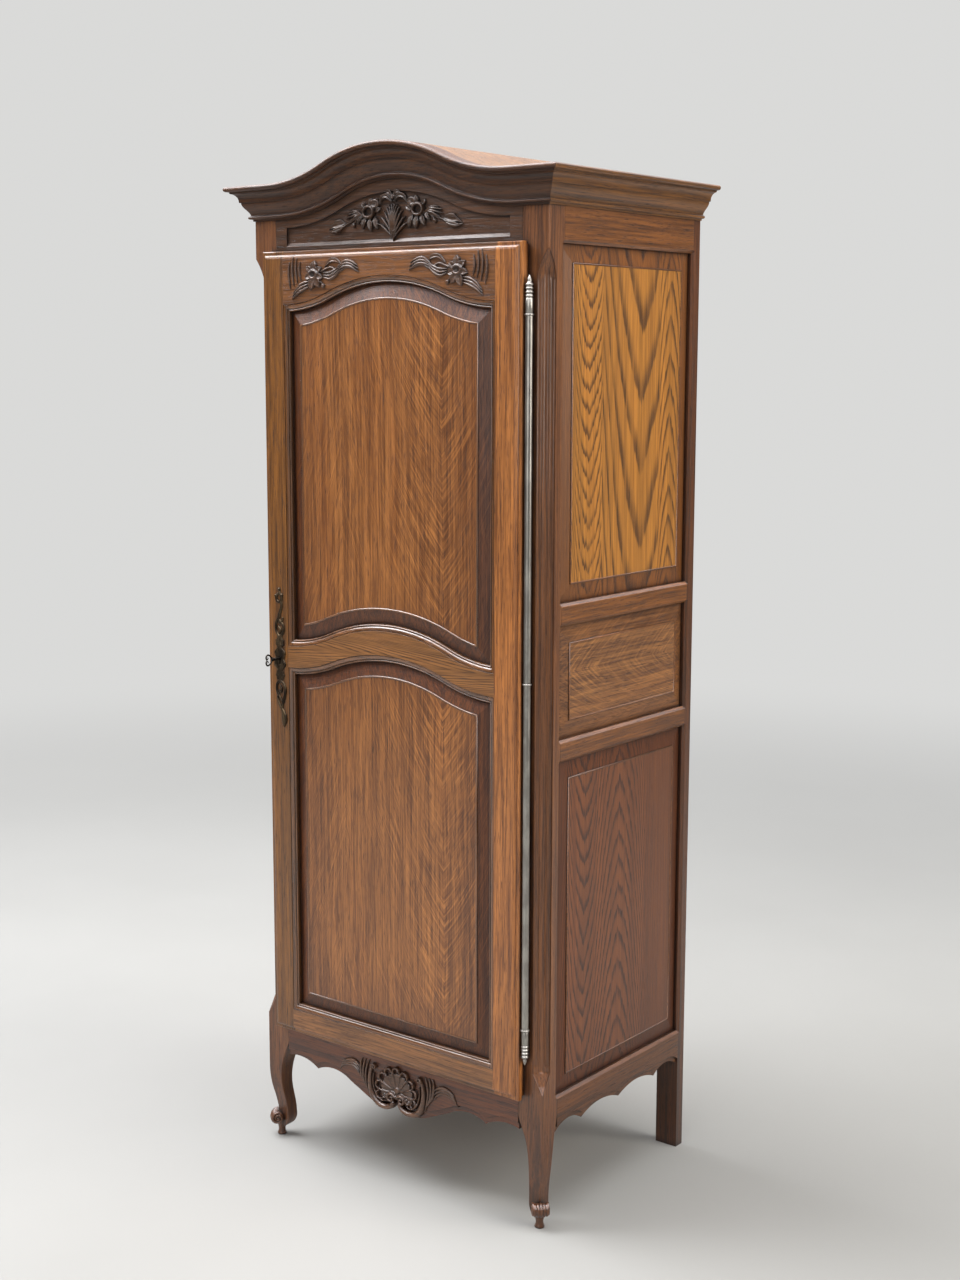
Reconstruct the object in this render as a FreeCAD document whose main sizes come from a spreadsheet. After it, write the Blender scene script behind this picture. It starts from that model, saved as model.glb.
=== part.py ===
import FreeCAD, Part
import math
import operator
import os
import Sketcher
from FreeCAD import Rotation, Vector

# Bonnetiere: a tall, narrow cupboard with one framed door, in millimetres.
# X runs to the right, Y from front to back and Z up. The origin is on the floor, in the middle
# of the whole piece. Every frame is mortised and tenoned, and every panel floats in grooves.

SIZES = [
    # case
    ("case_width", 690, "outside width of the case"),
    ("case_depth", 485, "front plane of the case to its back"),
    ("case_height", 1900, "floor to the level top of the cornice"),
    ("post_width", 55, "front post, across the front"),
    ("post_depth", 46, "front post, along the side"),
    ("stile_width", 48, "rear stile, across the back"),
    ("stile_thickness", 22.5, "rear stile, along the side"),
    ("rail_thickness", 22, "rails of the front and the sides"),
    ("tenon_thickness", 8, "tenons of the front rails"),
    ("tenon_length", 25, "tenons into the front posts"),
    ("short_tenon", 15, "tenons into the thin rear stiles"),
    ("shoulder", 9, "edge of a rail to the edge of its tenon"),
    ("joint_gap", 0.2, "room round a tenon, a tongue or a plate"),
    ("groove_depth", 8, "panel grooves"),
    ("tongue_gap", 0.5, "room at the bottom of a groove"),
    ("tongue_thickness", 6, "edges of the panels"),
    ("overrun", 1, "how far a cutter reaches past the face it opens"),
    # legs and feet
    ("leg_top", 215, "where the post turns into the leg"),
    ("leg_knee", 34, "side of the leg at its knee"),
    ("knee_level", 150, "level of the knee"),
    ("leg_ankle", 26, "side of the leg at its ankle"),
    ("ankle_level", 62, "level of the ankle"),
    ("ankle_inset", 11.5, "how far the ankle draws in from the corner"),
    ("leg_heel", 17, "side of the leg where it ends behind the scroll"),
    ("heel_level", 21, "level of that end"),
    ("scroll_radius", 14.7, "scroll of the foot"),
    ("scroll_length", 30, "scroll of the foot, across"),
    ("scroll_inset", 10.5, "scroll centre from the corner lines"),
    ("scroll_level", 38, "scroll centre above the floor"),
    ("peg_radius", 9, "round peg under the foot"),
    ("peg_inset", 16.5, "peg centre from the corner lines"),
    # fluted chamfer of the front posts
    ("chamfer_size", 23, "chamfer on the outer corner, along each face"),
    ("chamfer_under", 4, "lower point of the chamfer below the opening"),
    ("chamfer_over", 7, "upper point of the chamfer above the opening"),
    ("chamfer_point", 38, "length of each pointed end"),
    ("flute_radius", 7, "cutter of the flutes"),
    ("flute_depth", 1.7, "depth of the flutes"),
    ("flute_end", 8, "how far the outer flutes stop short of the middle one"),
    # front rails
    ("opening_bottom", 266, "top of the apron rail"),
    ("frieze_height", 140, "bottom of the frieze rail to the top of the cornice"),
    ("apron_height", 126, "apron rail at its lobes"),
    ("apron_cusp_rise", 33, "cusps of the apron above its lobes"),
    ("apron_wave_rise", 44, "waves of the apron above its lobes"),
    ("apron_notch", 12, "notch between the two lobes"),
    ("apron_lobe_half", 72, "half the width of the two lobes"),
    ("apron_slope_half", 125, "middle of the apron to the top of its slopes"),
    ("apron_cusp_half", 213, "middle of the apron to its cusps"),
    ("apron_band", 12, "moulded band along the apron's edge"),
    ("apron_band_depth", 4, "how far that band is set back"),
    ("frieze_panel_half", 263, "half the width of the sunk frieze panel"),
    ("frieze_panel_rail", 27, "bottom of the frieze rail to that panel"),
    ("frieze_panel_drop", 78, "top of the cornice to the upper ends of its sides"),
    ("frieze_panel_rise", 54, "rise of the frieze panel's arch"),
    ("frieze_panel_depth", 4, "depth of the sunk frieze panel"),
    ("frieze_ledge", 6, "sloping ledge under the frieze panel"),
    # side frames
    ("side_top_height", 124, "side top rails to the top of the cornice"),
    ("side_middle_level", 870.5, "underside of the side lower middle rails"),
    ("side_rail_height", 40, "side middle rails"),
    ("side_middle_bay", 205, "opening between the side middle rails"),
    ("side_bottom_top", 247, "top of the side bottom rails"),
    ("side_bottom_height", 69, "side bottom rails at their cusps"),
    ("side_wave_rise", 14, "waves of the side bottom rails above their cusps"),
    ("side_band", 10, "moulded band along their lower edge"),
    ("side_chamfer", 5, "moulded edge round the side panels"),
    ("side_recess", 12, "side panel edges behind the frame's face"),
    ("side_field_recess", 5, "side panel fields behind the frame's face"),
    ("side_bevel", 32, "bevel round the side panel fields"),
    # cornice and roof
    ("cornice_height", 63, "height of the moulding"),
    ("cornice_reach", 43, "how far the moulding stands out"),
    ("cornice_nose", 9, "thickness of the rounded nose"),
    ("cornice_bead", 6, "thickness of the bead"),
    ("arch_half", 280, "half the span of the cornice arch"),
    ("arch_rise", 61, "rise of the cornice arch"),
    ("roof_thickness", 6, "bent roof board"),
    # back, floor, ceiling and shelves
    ("back_rail_thickness", 18, "rails of the back"),
    ("back_rail_width", 62, "height of the rails of the back"),
    ("back_inset", 2, "back rails in from the rear face"),
    ("back_middle_level", 1000, "underside of the back middle rail"),
    ("back_bottom_drop", 66, "back bottom rail below the door opening"),
    ("back_top_drop", 3, "back top rail below the top of the door opening"),
    ("floor_thickness", 16, "floor board"),
    ("floor_step", 4, "floor below the edge of the apron rail"),
    ("ceiling_thickness", 12, "ceiling board"),
    ("ceiling_step", 6, "ceiling above the edge of the frieze rail"),
    ("housing_depth", 7, "housings for the floor and the ceiling"),
    ("board_gap", 0.6, "room round the loose boards"),
    ("shelf_thickness", 18, "shelves"),
    ("shelf_lower_level", 620, "underside of the lower shelf"),
    ("shelf_middle_level", 990, "underside of the middle shelf"),
    ("shelf_upper_level", 1370, "underside of the upper shelf"),
    ("cleat_width", 16, "shelf cleats, across"),
    ("cleat_height", 24, "shelf cleats, up"),
    # door
    ("door_overlap", 16, "how far the door covers the posts"),
    ("door_overlap_top", 17.5, "how far the door covers the frieze rail"),
    ("door_overlap_bottom", 16.5, "how far the door covers the apron rail"),
    ("door_thickness", 25, "thickness of the door"),
    ("door_gap", 0.5, "room between the door and the case"),
    ("lip_thickness", 15.5, "outer lip of the door"),
    ("lip_width", 4, "how far the lip stands past the rest"),
    ("lip_fillet", 6.8, "moulded edge: flat member"),
    ("lip_drop", 4.5, "moulded edge: depth of the flat member"),
    ("lip_ovolo", 6.7, "moulded edge: width of the ovolo"),
    ("door_stile", 55.3, "width of the door's stiles"),
    ("sight_width", 12.5, "moulding round the door panels"),
    ("sight_drop", 5.5, "depth of that moulding"),
    ("sight_fillet", 2.2, "flat member of that moulding"),
    ("door_top_rail", 98.5, "door's top rail at the ends of its arch"),
    ("door_top_rise", 49.5, "rise of the door's top arch"),
    ("middle_level", 989.5, "underside of the middle rail at its ends"),
    ("middle_height", 42, "middle rail at its ends"),
    ("middle_top_rise", 51, "rise of the middle rail's upper edge"),
    ("middle_bottom_rise", 48, "rise of the middle rail's lower edge"),
    ("door_bottom_rail", 48.5, "door's bottom rail"),
    ("door_tenon_thickness", 8, "tenons of the door"),
    ("door_tenon_wall", 3.3, "wood between the tenons and the hinge's wings"),
    ("keyhole_wall", 2, "wood between the middle tenon and the keyhole"),
    ("panel_back_recess", 6, "panel backs in from the back of the door"),
    ("field_recess", 3.5, "panel fields behind the face of the door"),
    ("field_step", 1.5, "step round the fields"),
    ("field_bevel", 27, "bevel round the fields"),
    # hinge
    ("hinge_radius", 6.4, "tubes of the hinge"),
    ("hinge_pin_radius", 4, "pin of the hinge"),
    ("hinge_fit", 0.05, "room round the pin"),
    ("hinge_offset", 8.6, "pin axis from the edge of the door"),
    ("hinge_forward", 13.5, "pin axis in front of the case"),
    ("hinge_from_bottom", 133.5, "lower barrel's joint above the door's edge"),
    ("hinge_from_top", 121, "upper barrel's joint below the door's edge"),
    ("ring_radius", 8.2, "rings of the hinge"),
    ("ring_height", 3.2, "rings at the ends of the tubes"),
    ("hinge_play", 0.3, "room between the parts of the hinge"),
    ("barrel_length", 26, "plain part of the fixed barrels"),
    ("bead_height", 24.4, "turned bead"),
    ("bead_groove", 1.2, "groove before the bead"),
    ("bead_depth", 1.4, "depth of that groove"),
    ("finial_length", 13, "pointed end of the fixed barrels"),
    ("wing_thickness", 2, "wings of the hinge"),
    ("wing_depth", 18, "wings into the wood"),
    ("wing_height", 60, "wings of the tubes"),
    ("wing_margin", 60, "end of a tube to its wing"),
    ("barrel_wing_margin", 3, "end of a fixed barrel to its wing"),
    # lock and key
    ("key_from_edge", 34, "key axis from the edge of the door"),
    ("key_level", 1005, "key axis above the floor"),
    ("key_reach", 41, "how far the key stands out of the door"),
    ("key_radius", 3, "shank of the key"),
    ("bow_length", 21, "bow of the key, along the key"),
    ("bow_half_width", 12.5, "half the width of the bow"),
    ("bow_thickness", 4, "thickness of the bow"),
    ("bow_rim", 3.5, "rim of the bow"),
    ("bit_length", 12, "key axis to the end of the bit"),
    ("bit_thickness", 2.6, "key bit"),
    ("bit_width", 5, "key bit, along the key"),
    ("keyhole_radius", 4.2, "round part of the keyhole"),
    ("keyhole_gap", 0.4, "room round the key's bit"),
    ("lock_depth", 16, "lock case, front to back"),
    ("lock_wall", 1.5, "sheet of the lock case"),
    ("lock_width", 46, "lock case, across"),
    ("lock_height", 60, "lock case, up"),
    ("lock_flange", 14, "screw flanges above and below the case"),
    ("lock_edge", 20, "edge of the lock from the edge of the door"),
    ("curtain_radius", 8, "turning collar of the lock"),
    ("curtain_gap", 0.3, "room round the collar"),
    ("curtain_depth", 3, "collar, front to back"),
    ("bolt_height", 24, "bolt, up"),
    ("bolt_thickness", 3.5, "bolt, front to back"),
    ("bolt_gap", 0.5, "room round the bolt"),
    ("bolt_throw", 10, "travel of the bolt"),
    ("keeper_thickness", 1.4, "keeper plate on the post"),
    ("keeper_margin", 9, "keeper plate round its hole"),
    ("plate_thickness", 1.6, "escutcheon plate"),
    ("plate_half_width", 17, "escutcheon: half its widest lobe and more"),
    ("plate_half_height", 137, "escutcheon: half its height"),
]

# Share of an arch's rise that the curves at its two ends take.
CORNICE_SPLIT = 0.5
DOOR_SPLIT = 0.44

OPERATIONS = {
    "+": operator.add,
    "-": operator.sub,
    "*": operator.mul,
    "/": operator.truediv,
}


class Size:
    """A number that keeps the sheet expression it comes from, so one sum gives both."""

    def __init__(self, value, text):
        self.value = float(value)
        self.text = text

    def join(self, other, sign, swapped=False):
        first, second = (as_size(other), self) if swapped else (self, as_size(other))
        value = OPERATIONS[sign](first.value, second.value)
        return Size(value, "(%s %s %s)" % (first.text, sign, second.text))

    def __add__(self, other):
        return self.join(other, "+")

    def __radd__(self, other):
        return self.join(other, "+", True)

    def __sub__(self, other):
        return self.join(other, "-")

    def __rsub__(self, other):
        return self.join(other, "-", True)

    def __mul__(self, other):
        return self.join(other, "*")

    def __rmul__(self, other):
        return self.join(other, "*", True)

    def __truediv__(self, other):
        return self.join(other, "/")

    def __neg__(self):
        return self.join(0, "-", True)


def as_size(number):
    """A plain number as a Size."""
    return number if isinstance(number, Size) else Size(number, repr(float(number)))


def root(size):
    """Square root of a Size."""
    return Size(math.sqrt(size.value), "sqrt(%s)" % size.text)


class Sheet:
    """The driving dimensions, one attribute for each cell of the spreadsheet."""

    def __init__(self, rows):
        self.cells = doc.addObject("Spreadsheet::Sheet", "Sizes")
        for number, (alias, value, note) in enumerate(rows, start=1):
            self.cells.set("A%d" % number, note)
            self.cells.set("B%d" % number, str(value))
            self.cells.setAlias("B%d" % number, alias)
            setattr(self, alias, Size(value, "Sizes." + alias))


doc = FreeCAD.newDocument("Bonnetiere")
s = Sheet(SIZES)
doc.recompute()
parts = []


# ---------------------------------------------------------------- document helpers

def finish(thing, label):
    """Name a finished sub-part and list it for export."""
    thing.Label = label
    parts.append(thing)
    return thing


def bind(thing, prop, size):
    """Tie a property to its expression."""
    thing.setExpression(prop, as_size(size).text)


def place(thing, x, y, z):
    """Tie the position of a primitive to sizes."""
    for axis, size in zip("xyz", (x, y, z)):
        bind(thing, "Placement.Base." + axis, size)
    return thing


def block(x, y, z):
    """A box from a (low, high) pair on each axis."""
    box = doc.addObject("Part::Box", "Block")
    for prop, (low, high) in zip(("Length", "Width", "Height"), (x, y, z)):
        bind(box, prop, high - low)
    return place(box, x[0], y[0], z[0])


def cylinder(radius, length, x, y, z, direction=(0, 0, 1)):
    """A cylinder that starts at a point and runs in a direction."""
    rod = doc.addObject("Part::Cylinder", "Rod")
    bind(rod, "Radius", radius)
    bind(rod, "Height", length)
    rod.Placement.Rotation = Rotation(Vector(0, 0, 1), Vector(*direction))
    return place(rod, x, y, z)


def tapered(plane, near, far):
    """A block whose flat sides slope from one rectangle to another.

    Each rectangle is (level, across, up): its level on the axis that the plane faces, then a
    (low, high) pair across and one up.
    """
    wedge = doc.addObject("Part::Wedge", "Tapered")
    (near_level, near_across, near_up), (far_level, far_across, far_up) = near, far
    if plane == "YZ_Plane":
        wedge.Placement.Rotation = Rotation(Vector(0, 0, 1), -90)
        near_across = (-near_across[1], -near_across[0])
        far_across = (-far_across[1], -far_across[0])
    spans = {
        "Y%s": (near_level, far_level),
        "X%s": near_across,
        "Z%s": near_up,
        "X2%s": far_across,
        "Z2%s": far_up,
    }
    for prop, (low, high) in spans.items():
        bind(wedge, prop % "min", low)
        bind(wedge, prop % "max", high)
    return wedge


def fuse(shapes, name="Fused"):
    """Several shapes as one."""
    joined = doc.addObject("Part::MultiFuse", name)
    joined.Shapes = shapes
    return joined


def cut(base, tools, name="Carved"):
    """A shape with one or more tools taken away."""
    carved = doc.addObject("Part::Cut", name)
    carved.Base = base
    carved.Tool = tools[0] if len(tools) == 1 else fuse(tools, "Tools")
    return carved


def common(base, tool, name="Shaped"):
    """What two shapes share."""
    shared = doc.addObject("Part::Common", name)
    shared.Base = base
    shared.Tool = tool
    return shared


def mirror(source):
    """The same piece for the other side of the cupboard."""
    copy = doc.addObject("Part::Mirroring", "Mirrored")
    copy.Source = source
    copy.Normal = Vector(1, 0, 0)
    return copy


def body(name):
    """A new PartDesign body."""
    return doc.addObject("PartDesign::Body", name)


def sketch_on(owner, plane, offset=None):
    """A sketch on an origin plane of its body, moved along the plane's normal."""
    sketch = owner.newObject("Sketcher::SketchObject", owner.Name + "_Sketch")
    planes = [item for item in owner.Origin.OriginFeatures if item.Role == plane]
    sketch.AttachmentSupport = (planes[0], "")
    sketch.MapMode = "FlatFace"
    if offset is not None:
        bind(sketch, "AttachmentOffset.Base.z", offset)
    return sketch


def arc_between(start, end, radius):
    """The short arc between two points. Its centre is on the left for a positive radius."""
    chord = end - start
    side = Vector(-chord.y, chord.x, 0).normalize()
    height = math.sqrt(radius * radius - chord.Length ** 2 / 4)
    centre = (start + end) * 0.5 + side * math.copysign(height, radius)
    first, last = (start, end) if radius > 0 else (end, start)
    angles = [math.atan2(p.y - centre.y, p.x - centre.x) for p in (first, last)]
    if angles[1] < angles[0]:
        angles[1] += 2 * math.pi
    return Part.ArcOfCircle(Part.Circle(centre, Vector(0, 0, 1), abs(radius)), *angles)


def draw(sketch, corners, closed=True):
    """Draw a line of corners, each (x, y, radius), and constrain it to its sizes.

    The radius bends the side that leaves the corner; 0 leaves it straight.
    """
    corners = [tuple(as_size(item) for item in corner) for corner in corners]
    points = [Vector(x.value, y.value, 0) for x, y, _ in corners]
    count = len(corners)
    sides = count if closed else count - 1
    ends = []
    for number in range(sides):
        start, end = points[number], points[(number + 1) % count]
        radius = corners[number][2]
        if radius.value == 0:
            side = sketch.addGeometry(Part.LineSegment(start, end))
            ends.append((side, 1, 2))
            continue
        side = sketch.addGeometry(arc_between(start, end, radius.value))
        ends.append((side, 1, 2) if radius.value > 0 else (side, 2, 1))
        rule = sketch.addConstraint(Sketcher.Constraint("Radius", side, abs(radius.value)))
        bind(sketch, "Constraints[%d]" % rule, radius if radius.value > 0 else -radius)
    for number in range(count):
        side, start, end = ends[min(number, sides - 1)]
        point = start if number < sides else end
        for kind, size in zip(("DistanceX", "DistanceY"), corners[number]):
            rule = sketch.addConstraint(Sketcher.Constraint(kind, -1, 1, side, point, size.value))
            bind(sketch, "Constraints[%d]" % rule, size)
        if number < sides and (closed or number < sides - 1):
            following, first, _ = ends[(number + 1) % sides]
            sketch.addConstraint(Sketcher.Constraint("Coincident", side, end, following, first))
    return sketch


def facing(plane, position):
    """Offset of a sketch on that plane that puts it at a position on the world axis."""
    return -position if plane == "XZ_Plane" else position


def pad(owner, plane, corners, low, high):
    """Fill an outline from one level to another on the axis that its plane faces."""
    start = high if plane == "XZ_Plane" else low
    sketch = draw(sketch_on(owner, plane, facing(plane, start)), corners)
    feature = owner.newObject("PartDesign::Pad", owner.Name + "_Pad")
    feature.Profile = sketch
    bind(feature, "Length", high - low)
    return owner


def pocket(owner, plane, corners, low, high):
    """Cut an outline out between two levels."""
    start = high if plane == "XZ_Plane" else low
    sketch = draw(sketch_on(owner, plane, facing(plane, start)), corners)
    feature = owner.newObject("PartDesign::Pocket", owner.Name + "_Pocket")
    feature.Profile = sketch
    feature.Reversed = True
    bind(feature, "Length", high - low)
    return owner


def loft(owner, plane, sections):
    """A solid with straight sides through several outlines, each given with its level."""
    sketches = [
        draw(sketch_on(owner, plane, facing(plane, level)), corners) for level, corners in sections
    ]
    feature = owner.newObject("PartDesign::AdditiveLoft", owner.Name + "_Loft")
    feature.Profile = sketches[0]
    feature.Sections = sketches[1:]
    feature.Ruled = True
    return owner


def turned(name, x, y, profile):
    """A solid of revolution about an upright axis, from (radius, level) corners."""
    owner = body(name)
    sketch = draw(sketch_on(owner, "XZ_Plane"), profile)
    feature = owner.newObject("PartDesign::Revolution", name + "_Turned")
    feature.Profile = sketch
    feature.ReferenceAxis = (sketch, ["V_Axis"])
    feature.Angle = 360
    place(owner, x, y, as_size(0))
    return owner


# ---------------------------------------------------------------- outlines

def widened(span, gap):
    """A (low, high) pair with room added at both ends."""
    return (span[0] - gap, span[1] + gap)


def rectangle(x, y, inset=0):
    """Corners of a rectangle from two (low, high) pairs, drawn in by an inset."""
    left, right = x[0] + inset, x[1] - inset
    low, high = y[0] + inset, y[1] - inset
    return [(left, low, 0), (right, low, 0), (right, high, 0), (left, high, 0)]


def bend(start, end, bulge):
    """Radius of the arc between two corners that stands out from their chord by bulge.

    The arc turns left for a positive bulge, with its centre on the left of the way.
    """
    across = end[0] - start[0]
    along = end[1] - start[1]
    return ((across * across + along * along) / 4 + bulge * bulge) / (2 * bulge)


def bent_line(corners):
    """Corners (x, y, bulge) with each bulge turned into the radius of its side."""
    line = []
    for number, (x, y, bulge) in enumerate(corners):
        following = corners[(number + 1) % len(corners)]
        straight = as_size(bulge).value == 0
        line.append((x, y, 0 if straight else bend((x, y), following, bulge)))
    return line


def turn_back(line):
    """The same line of corners in the other direction."""
    turned_back = []
    for number in range(len(line) - 1, -1, -1):
        radius = -as_size(line[number - 1][2]) if number else 0
        turned_back.append((line[number][0], line[number][1], radius))
    return turned_back


class Ogee:
    """An arch of two S-curves that starts and ends level: a 'gendarme hat'.

    split is the share of the height that the two end curves take.
    """

    def __init__(self, half, level, rise, split):
        square = half * half + rise * rise
        self.half = half
        self.level = level
        self.rise = rise
        self.split = as_size(split)
        split = self.split
        self.end_radius = split * square / (2 * rise)
        self.crown_radius = (1 - split) * square / (2 * rise)
        self.sine = 2 * half * rise / square
        self.cosine = (half * half - rise * rise) / square

    def end_height(self, shift, reach):
        """Height of the moved line where it crosses a given half width."""
        radius = self.end_radius - shift
        across = self.half - reach
        return self.level + self.end_radius - root(radius * radius - across * across)

    def line(self, shift=0, reach=None):
        """Corners from left to right, moved square to the line by shift (up is positive)."""
        shift = as_size(shift)
        if reach is None:
            reach = self.half
            end_level = self.level + shift
        else:
            end_level = self.end_height(shift, reach)
        joint_x = (1 - self.split) * self.half + shift * self.sine
        joint_level = self.level + self.split * self.rise + shift * self.cosine
        end_bend = self.end_radius - shift
        return [
            (-reach, end_level, end_bend),
            (-joint_x, joint_level, -(self.crown_radius + shift)),
            (joint_x, joint_level, end_bend),
            (reach, end_level, 0),
        ]


def level_line(half, level):
    """A straight line from left to right."""
    return [(-half, level, 0), (half, level, 0)]


def closed_loop(bottom, top):
    """An outline with a lower and an upper line, both given from left to right."""
    return bottom + turn_back(top)


# ---------------------------------------------------------------- shared positions

half_case = s.case_width / 2
front = (s.door_gap + s.door_thickness + s.key_reach - s.case_depth) / 2
back = front + s.case_depth
half_door = half_case - s.post_width + s.door_overlap
opening_top = s.case_height - s.frieze_height
post_inner = half_case - s.post_width
post_back = front + s.post_depth
stile_inner = half_case - s.stile_width
stile_front = back - s.stile_thickness
frame_top = s.case_height - s.roof_thickness
side_inner = half_case - s.rail_thickness
door_back = front - s.door_gap
door_front = door_back - s.door_thickness
arch = Ogee(s.arch_half, s.case_height, s.arch_rise, CORNICE_SPLIT)

# Tenons and panel tongues of the front frame lie a third of the way in.
front_tenon_y = (front + s.rail_thickness / 3, front + s.rail_thickness / 3 + s.tenon_thickness)

# The side panels' tongues lie behind the recess of their edges; the tenons share that plane.
side_tongue_x = (
    half_case - s.side_recess - s.tongue_thickness,
    half_case - s.side_recess,
)

back_rail_y = (back - s.back_inset - s.back_rail_thickness, back - s.back_inset)
back_middle = (back_rail_y[0] + back_rail_y[1]) / 2
back_tongue_y = (back_middle - s.tongue_thickness / 2, back_middle + s.tongue_thickness / 2)


# ---------------------------------------------------------------- side frames

side_top_level = s.case_height - s.side_top_height
side_lower_z = (s.side_middle_level, s.side_middle_level + s.side_rail_height)
side_upper_z = (
    side_lower_z[1] + s.side_middle_bay,
    side_lower_z[1] + s.side_middle_bay + s.side_rail_height,
)
side_cusp_level = s.side_bottom_top - s.side_bottom_height
SIDE_BAYS = {
    "top": (side_upper_z[1], side_top_level),
    "middle": (side_lower_z[1], side_upper_z[0]),
    "bottom": (s.side_bottom_top, side_lower_z[0]),
}
side_bay_y = (post_back, stile_front)


def side_bay_tool(z):
    """Waste of one side bay: the groove for the panel and the moulded edge of the frame."""
    slope = s.side_chamfer + s.overrun
    edge = tapered(
        "YZ_Plane",
        (half_case - s.side_chamfer, side_bay_y, z),
        (half_case + s.overrun, widened(side_bay_y, slope), widened(z, slope)),
    )
    groove = s.groove_depth + s.tongue_gap
    slot = block(widened(side_tongue_x, s.joint_gap), widened(side_bay_y, groove), widened(z, groove))
    return fuse([edge, slot], "SideBay")


def side_panel(z):
    """A raised and fielded panel of the side."""
    field_x = half_case - s.side_field_recess
    field_inset = s.side_bevel + s.tongue_gap
    tongue = block(side_tongue_x, widened(side_bay_y, s.groove_depth), widened(z, s.groove_depth))
    bevel = tapered(
        "YZ_Plane",
        (side_tongue_x[1], widened(side_bay_y, -s.joint_gap), widened(z, -s.joint_gap)),
        (field_x - s.field_step, widened(side_bay_y, -s.side_bevel), widened(z, -s.side_bevel)),
    )
    field = block((side_tongue_x[1], field_x), widened(side_bay_y, -field_inset),
                  widened(z, -field_inset))
    return fuse([tongue, bevel, field], "SidePanel")


side_tools = [side_bay_tool(z) for z in SIDE_BAYS.values()]


def side_tenons(z, gap=0):
    """The two tenons of a side rail, or with a gap the two mortises for them."""
    x = widened(side_tongue_x, gap)
    z = widened(z, gap)
    to_front = block(x, (post_back - s.tenon_length - gap, post_back), z)
    to_back = block(x, (stile_front, stile_front + s.short_tenon + gap), z)
    return to_front, to_back


def side_shape(reveal):
    """Outline of the side bottom rail, whose lower edge is two long waves between two short ones."""
    cusp = side_cusp_level + reveal
    span = stile_front - post_back
    return bent_line([
        (post_back, cusp, -s.side_wave_rise),
        (post_back + span * 0.2, cusp, -s.side_wave_rise),
        (post_back + span * 0.5, cusp, -s.side_wave_rise),
        (post_back + span * 0.8, cusp, -s.side_wave_rise),
        (stile_front, cusp, 0),
        (stile_front, s.side_bottom_top, 0),
        (post_back, s.side_bottom_top, 0),
    ])


SIDE_RAILS = {
    "top": (side_top_level, frame_top),
    "upper": side_upper_z,
    "lower": side_lower_z,
    "bottom": (side_cusp_level + s.side_wave_rise, s.side_bottom_top),
}
side_tenon_z = {name: (z[0] + s.shoulder, z[1] - s.shoulder) for name, z in SIDE_RAILS.items()}

side_rail_blanks = {}
for name in ("top", "upper", "lower"):
    side_rail_blanks[name] = block((side_inner, half_case), side_bay_y, SIDE_RAILS[name])
shaped = body("SideBottomRail")
pad(shaped, "YZ_Plane", side_shape(s.side_band), side_inner, half_case)
pad(shaped, "YZ_Plane", side_shape(0), side_inner, half_case - s.apron_band_depth)
side_rail_blanks["bottom"] = shaped

for name, blank in side_rail_blanks.items():
    carved = cut(blank, side_tools)
    rail = fuse([carved, *side_tenons(side_tenon_z[name])], "SideRail")
    finish(rail, "side_%s_rail_right" % name)
    finish(mirror(rail), "side_%s_rail_left" % name)

for name, z in SIDE_BAYS.items():
    panel = side_panel(z)
    finish(panel, "side_%s_panel_right" % name)
    finish(mirror(panel), "side_%s_panel_left" % name)


# ---------------------------------------------------------------- front rails

apron_lobe = s.opening_bottom - s.apron_height
apron_wave = apron_lobe + s.apron_wave_rise
frieze_tenon_z = (opening_top + 2 * s.shoulder, s.case_height - s.cornice_height)
apron_tenon_z = (apron_wave + 2 * s.shoulder, s.opening_bottom - s.shoulder)
floor_top = s.opening_bottom - s.floor_step
floor_z = (floor_top - s.floor_thickness, floor_top)
ceiling_z = (opening_top + s.ceiling_step, opening_top + s.ceiling_step + s.ceiling_thickness)
board_front = front + s.rail_thickness - s.housing_depth
board_back = back_rail_y[0] + s.housing_depth / 2


def rail_tenons(inner, length, y, z, gap=0):
    """Tenons on both ends of a rail that runs across, or mortises when a gap is given."""
    y = widened(y, gap)
    z = widened(z, gap)
    right = block((inner, inner + length + gap), y, z)
    left = block((-inner - length - gap, -inner), y, z)
    return left, right


def arched_top(inner, bottom):
    """Outline of a rail whose top carries the bent roof board."""
    line = arch.line(-s.roof_thickness)
    top = [(-inner, frame_top, 0)] + line + [(inner, frame_top, 0)]
    return closed_loop(level_line(inner, bottom), top)


frieze = body("FriezeRail")
pad(frieze, "XZ_Plane", arched_top(post_inner, opening_top), front, front + s.rail_thickness)
frieze_arch = Ogee(
    s.frieze_panel_half, s.case_height - s.frieze_panel_drop, s.frieze_panel_rise, CORNICE_SPLIT)
ledge_z = (opening_top + s.frieze_panel_rail, opening_top + s.frieze_panel_rail + s.frieze_ledge)
pocket(frieze, "XZ_Plane",
       closed_loop(level_line(s.frieze_panel_half, ledge_z[1]), frieze_arch.line()),
       front - s.overrun, front + s.frieze_panel_depth)
pocket(frieze, "YZ_Plane", [
    (front, ledge_z[0], 0),
    (front + s.frieze_panel_depth, ledge_z[1], 0),
    (front, ledge_z[1], 0),
], -s.frieze_panel_half, s.frieze_panel_half)
ceiling_housing_front = block(
    (-post_inner, post_inner), (board_front, front + s.rail_thickness),
    widened(ceiling_z, s.joint_gap),
)
finish(
    fuse([
        cut(frieze, [ceiling_housing_front]),
        *rail_tenons(post_inner, s.tenon_length, front_tenon_y, frieze_tenon_z),
    ], "FriezeRailTenoned"),
    "frieze_rail",
)


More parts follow.
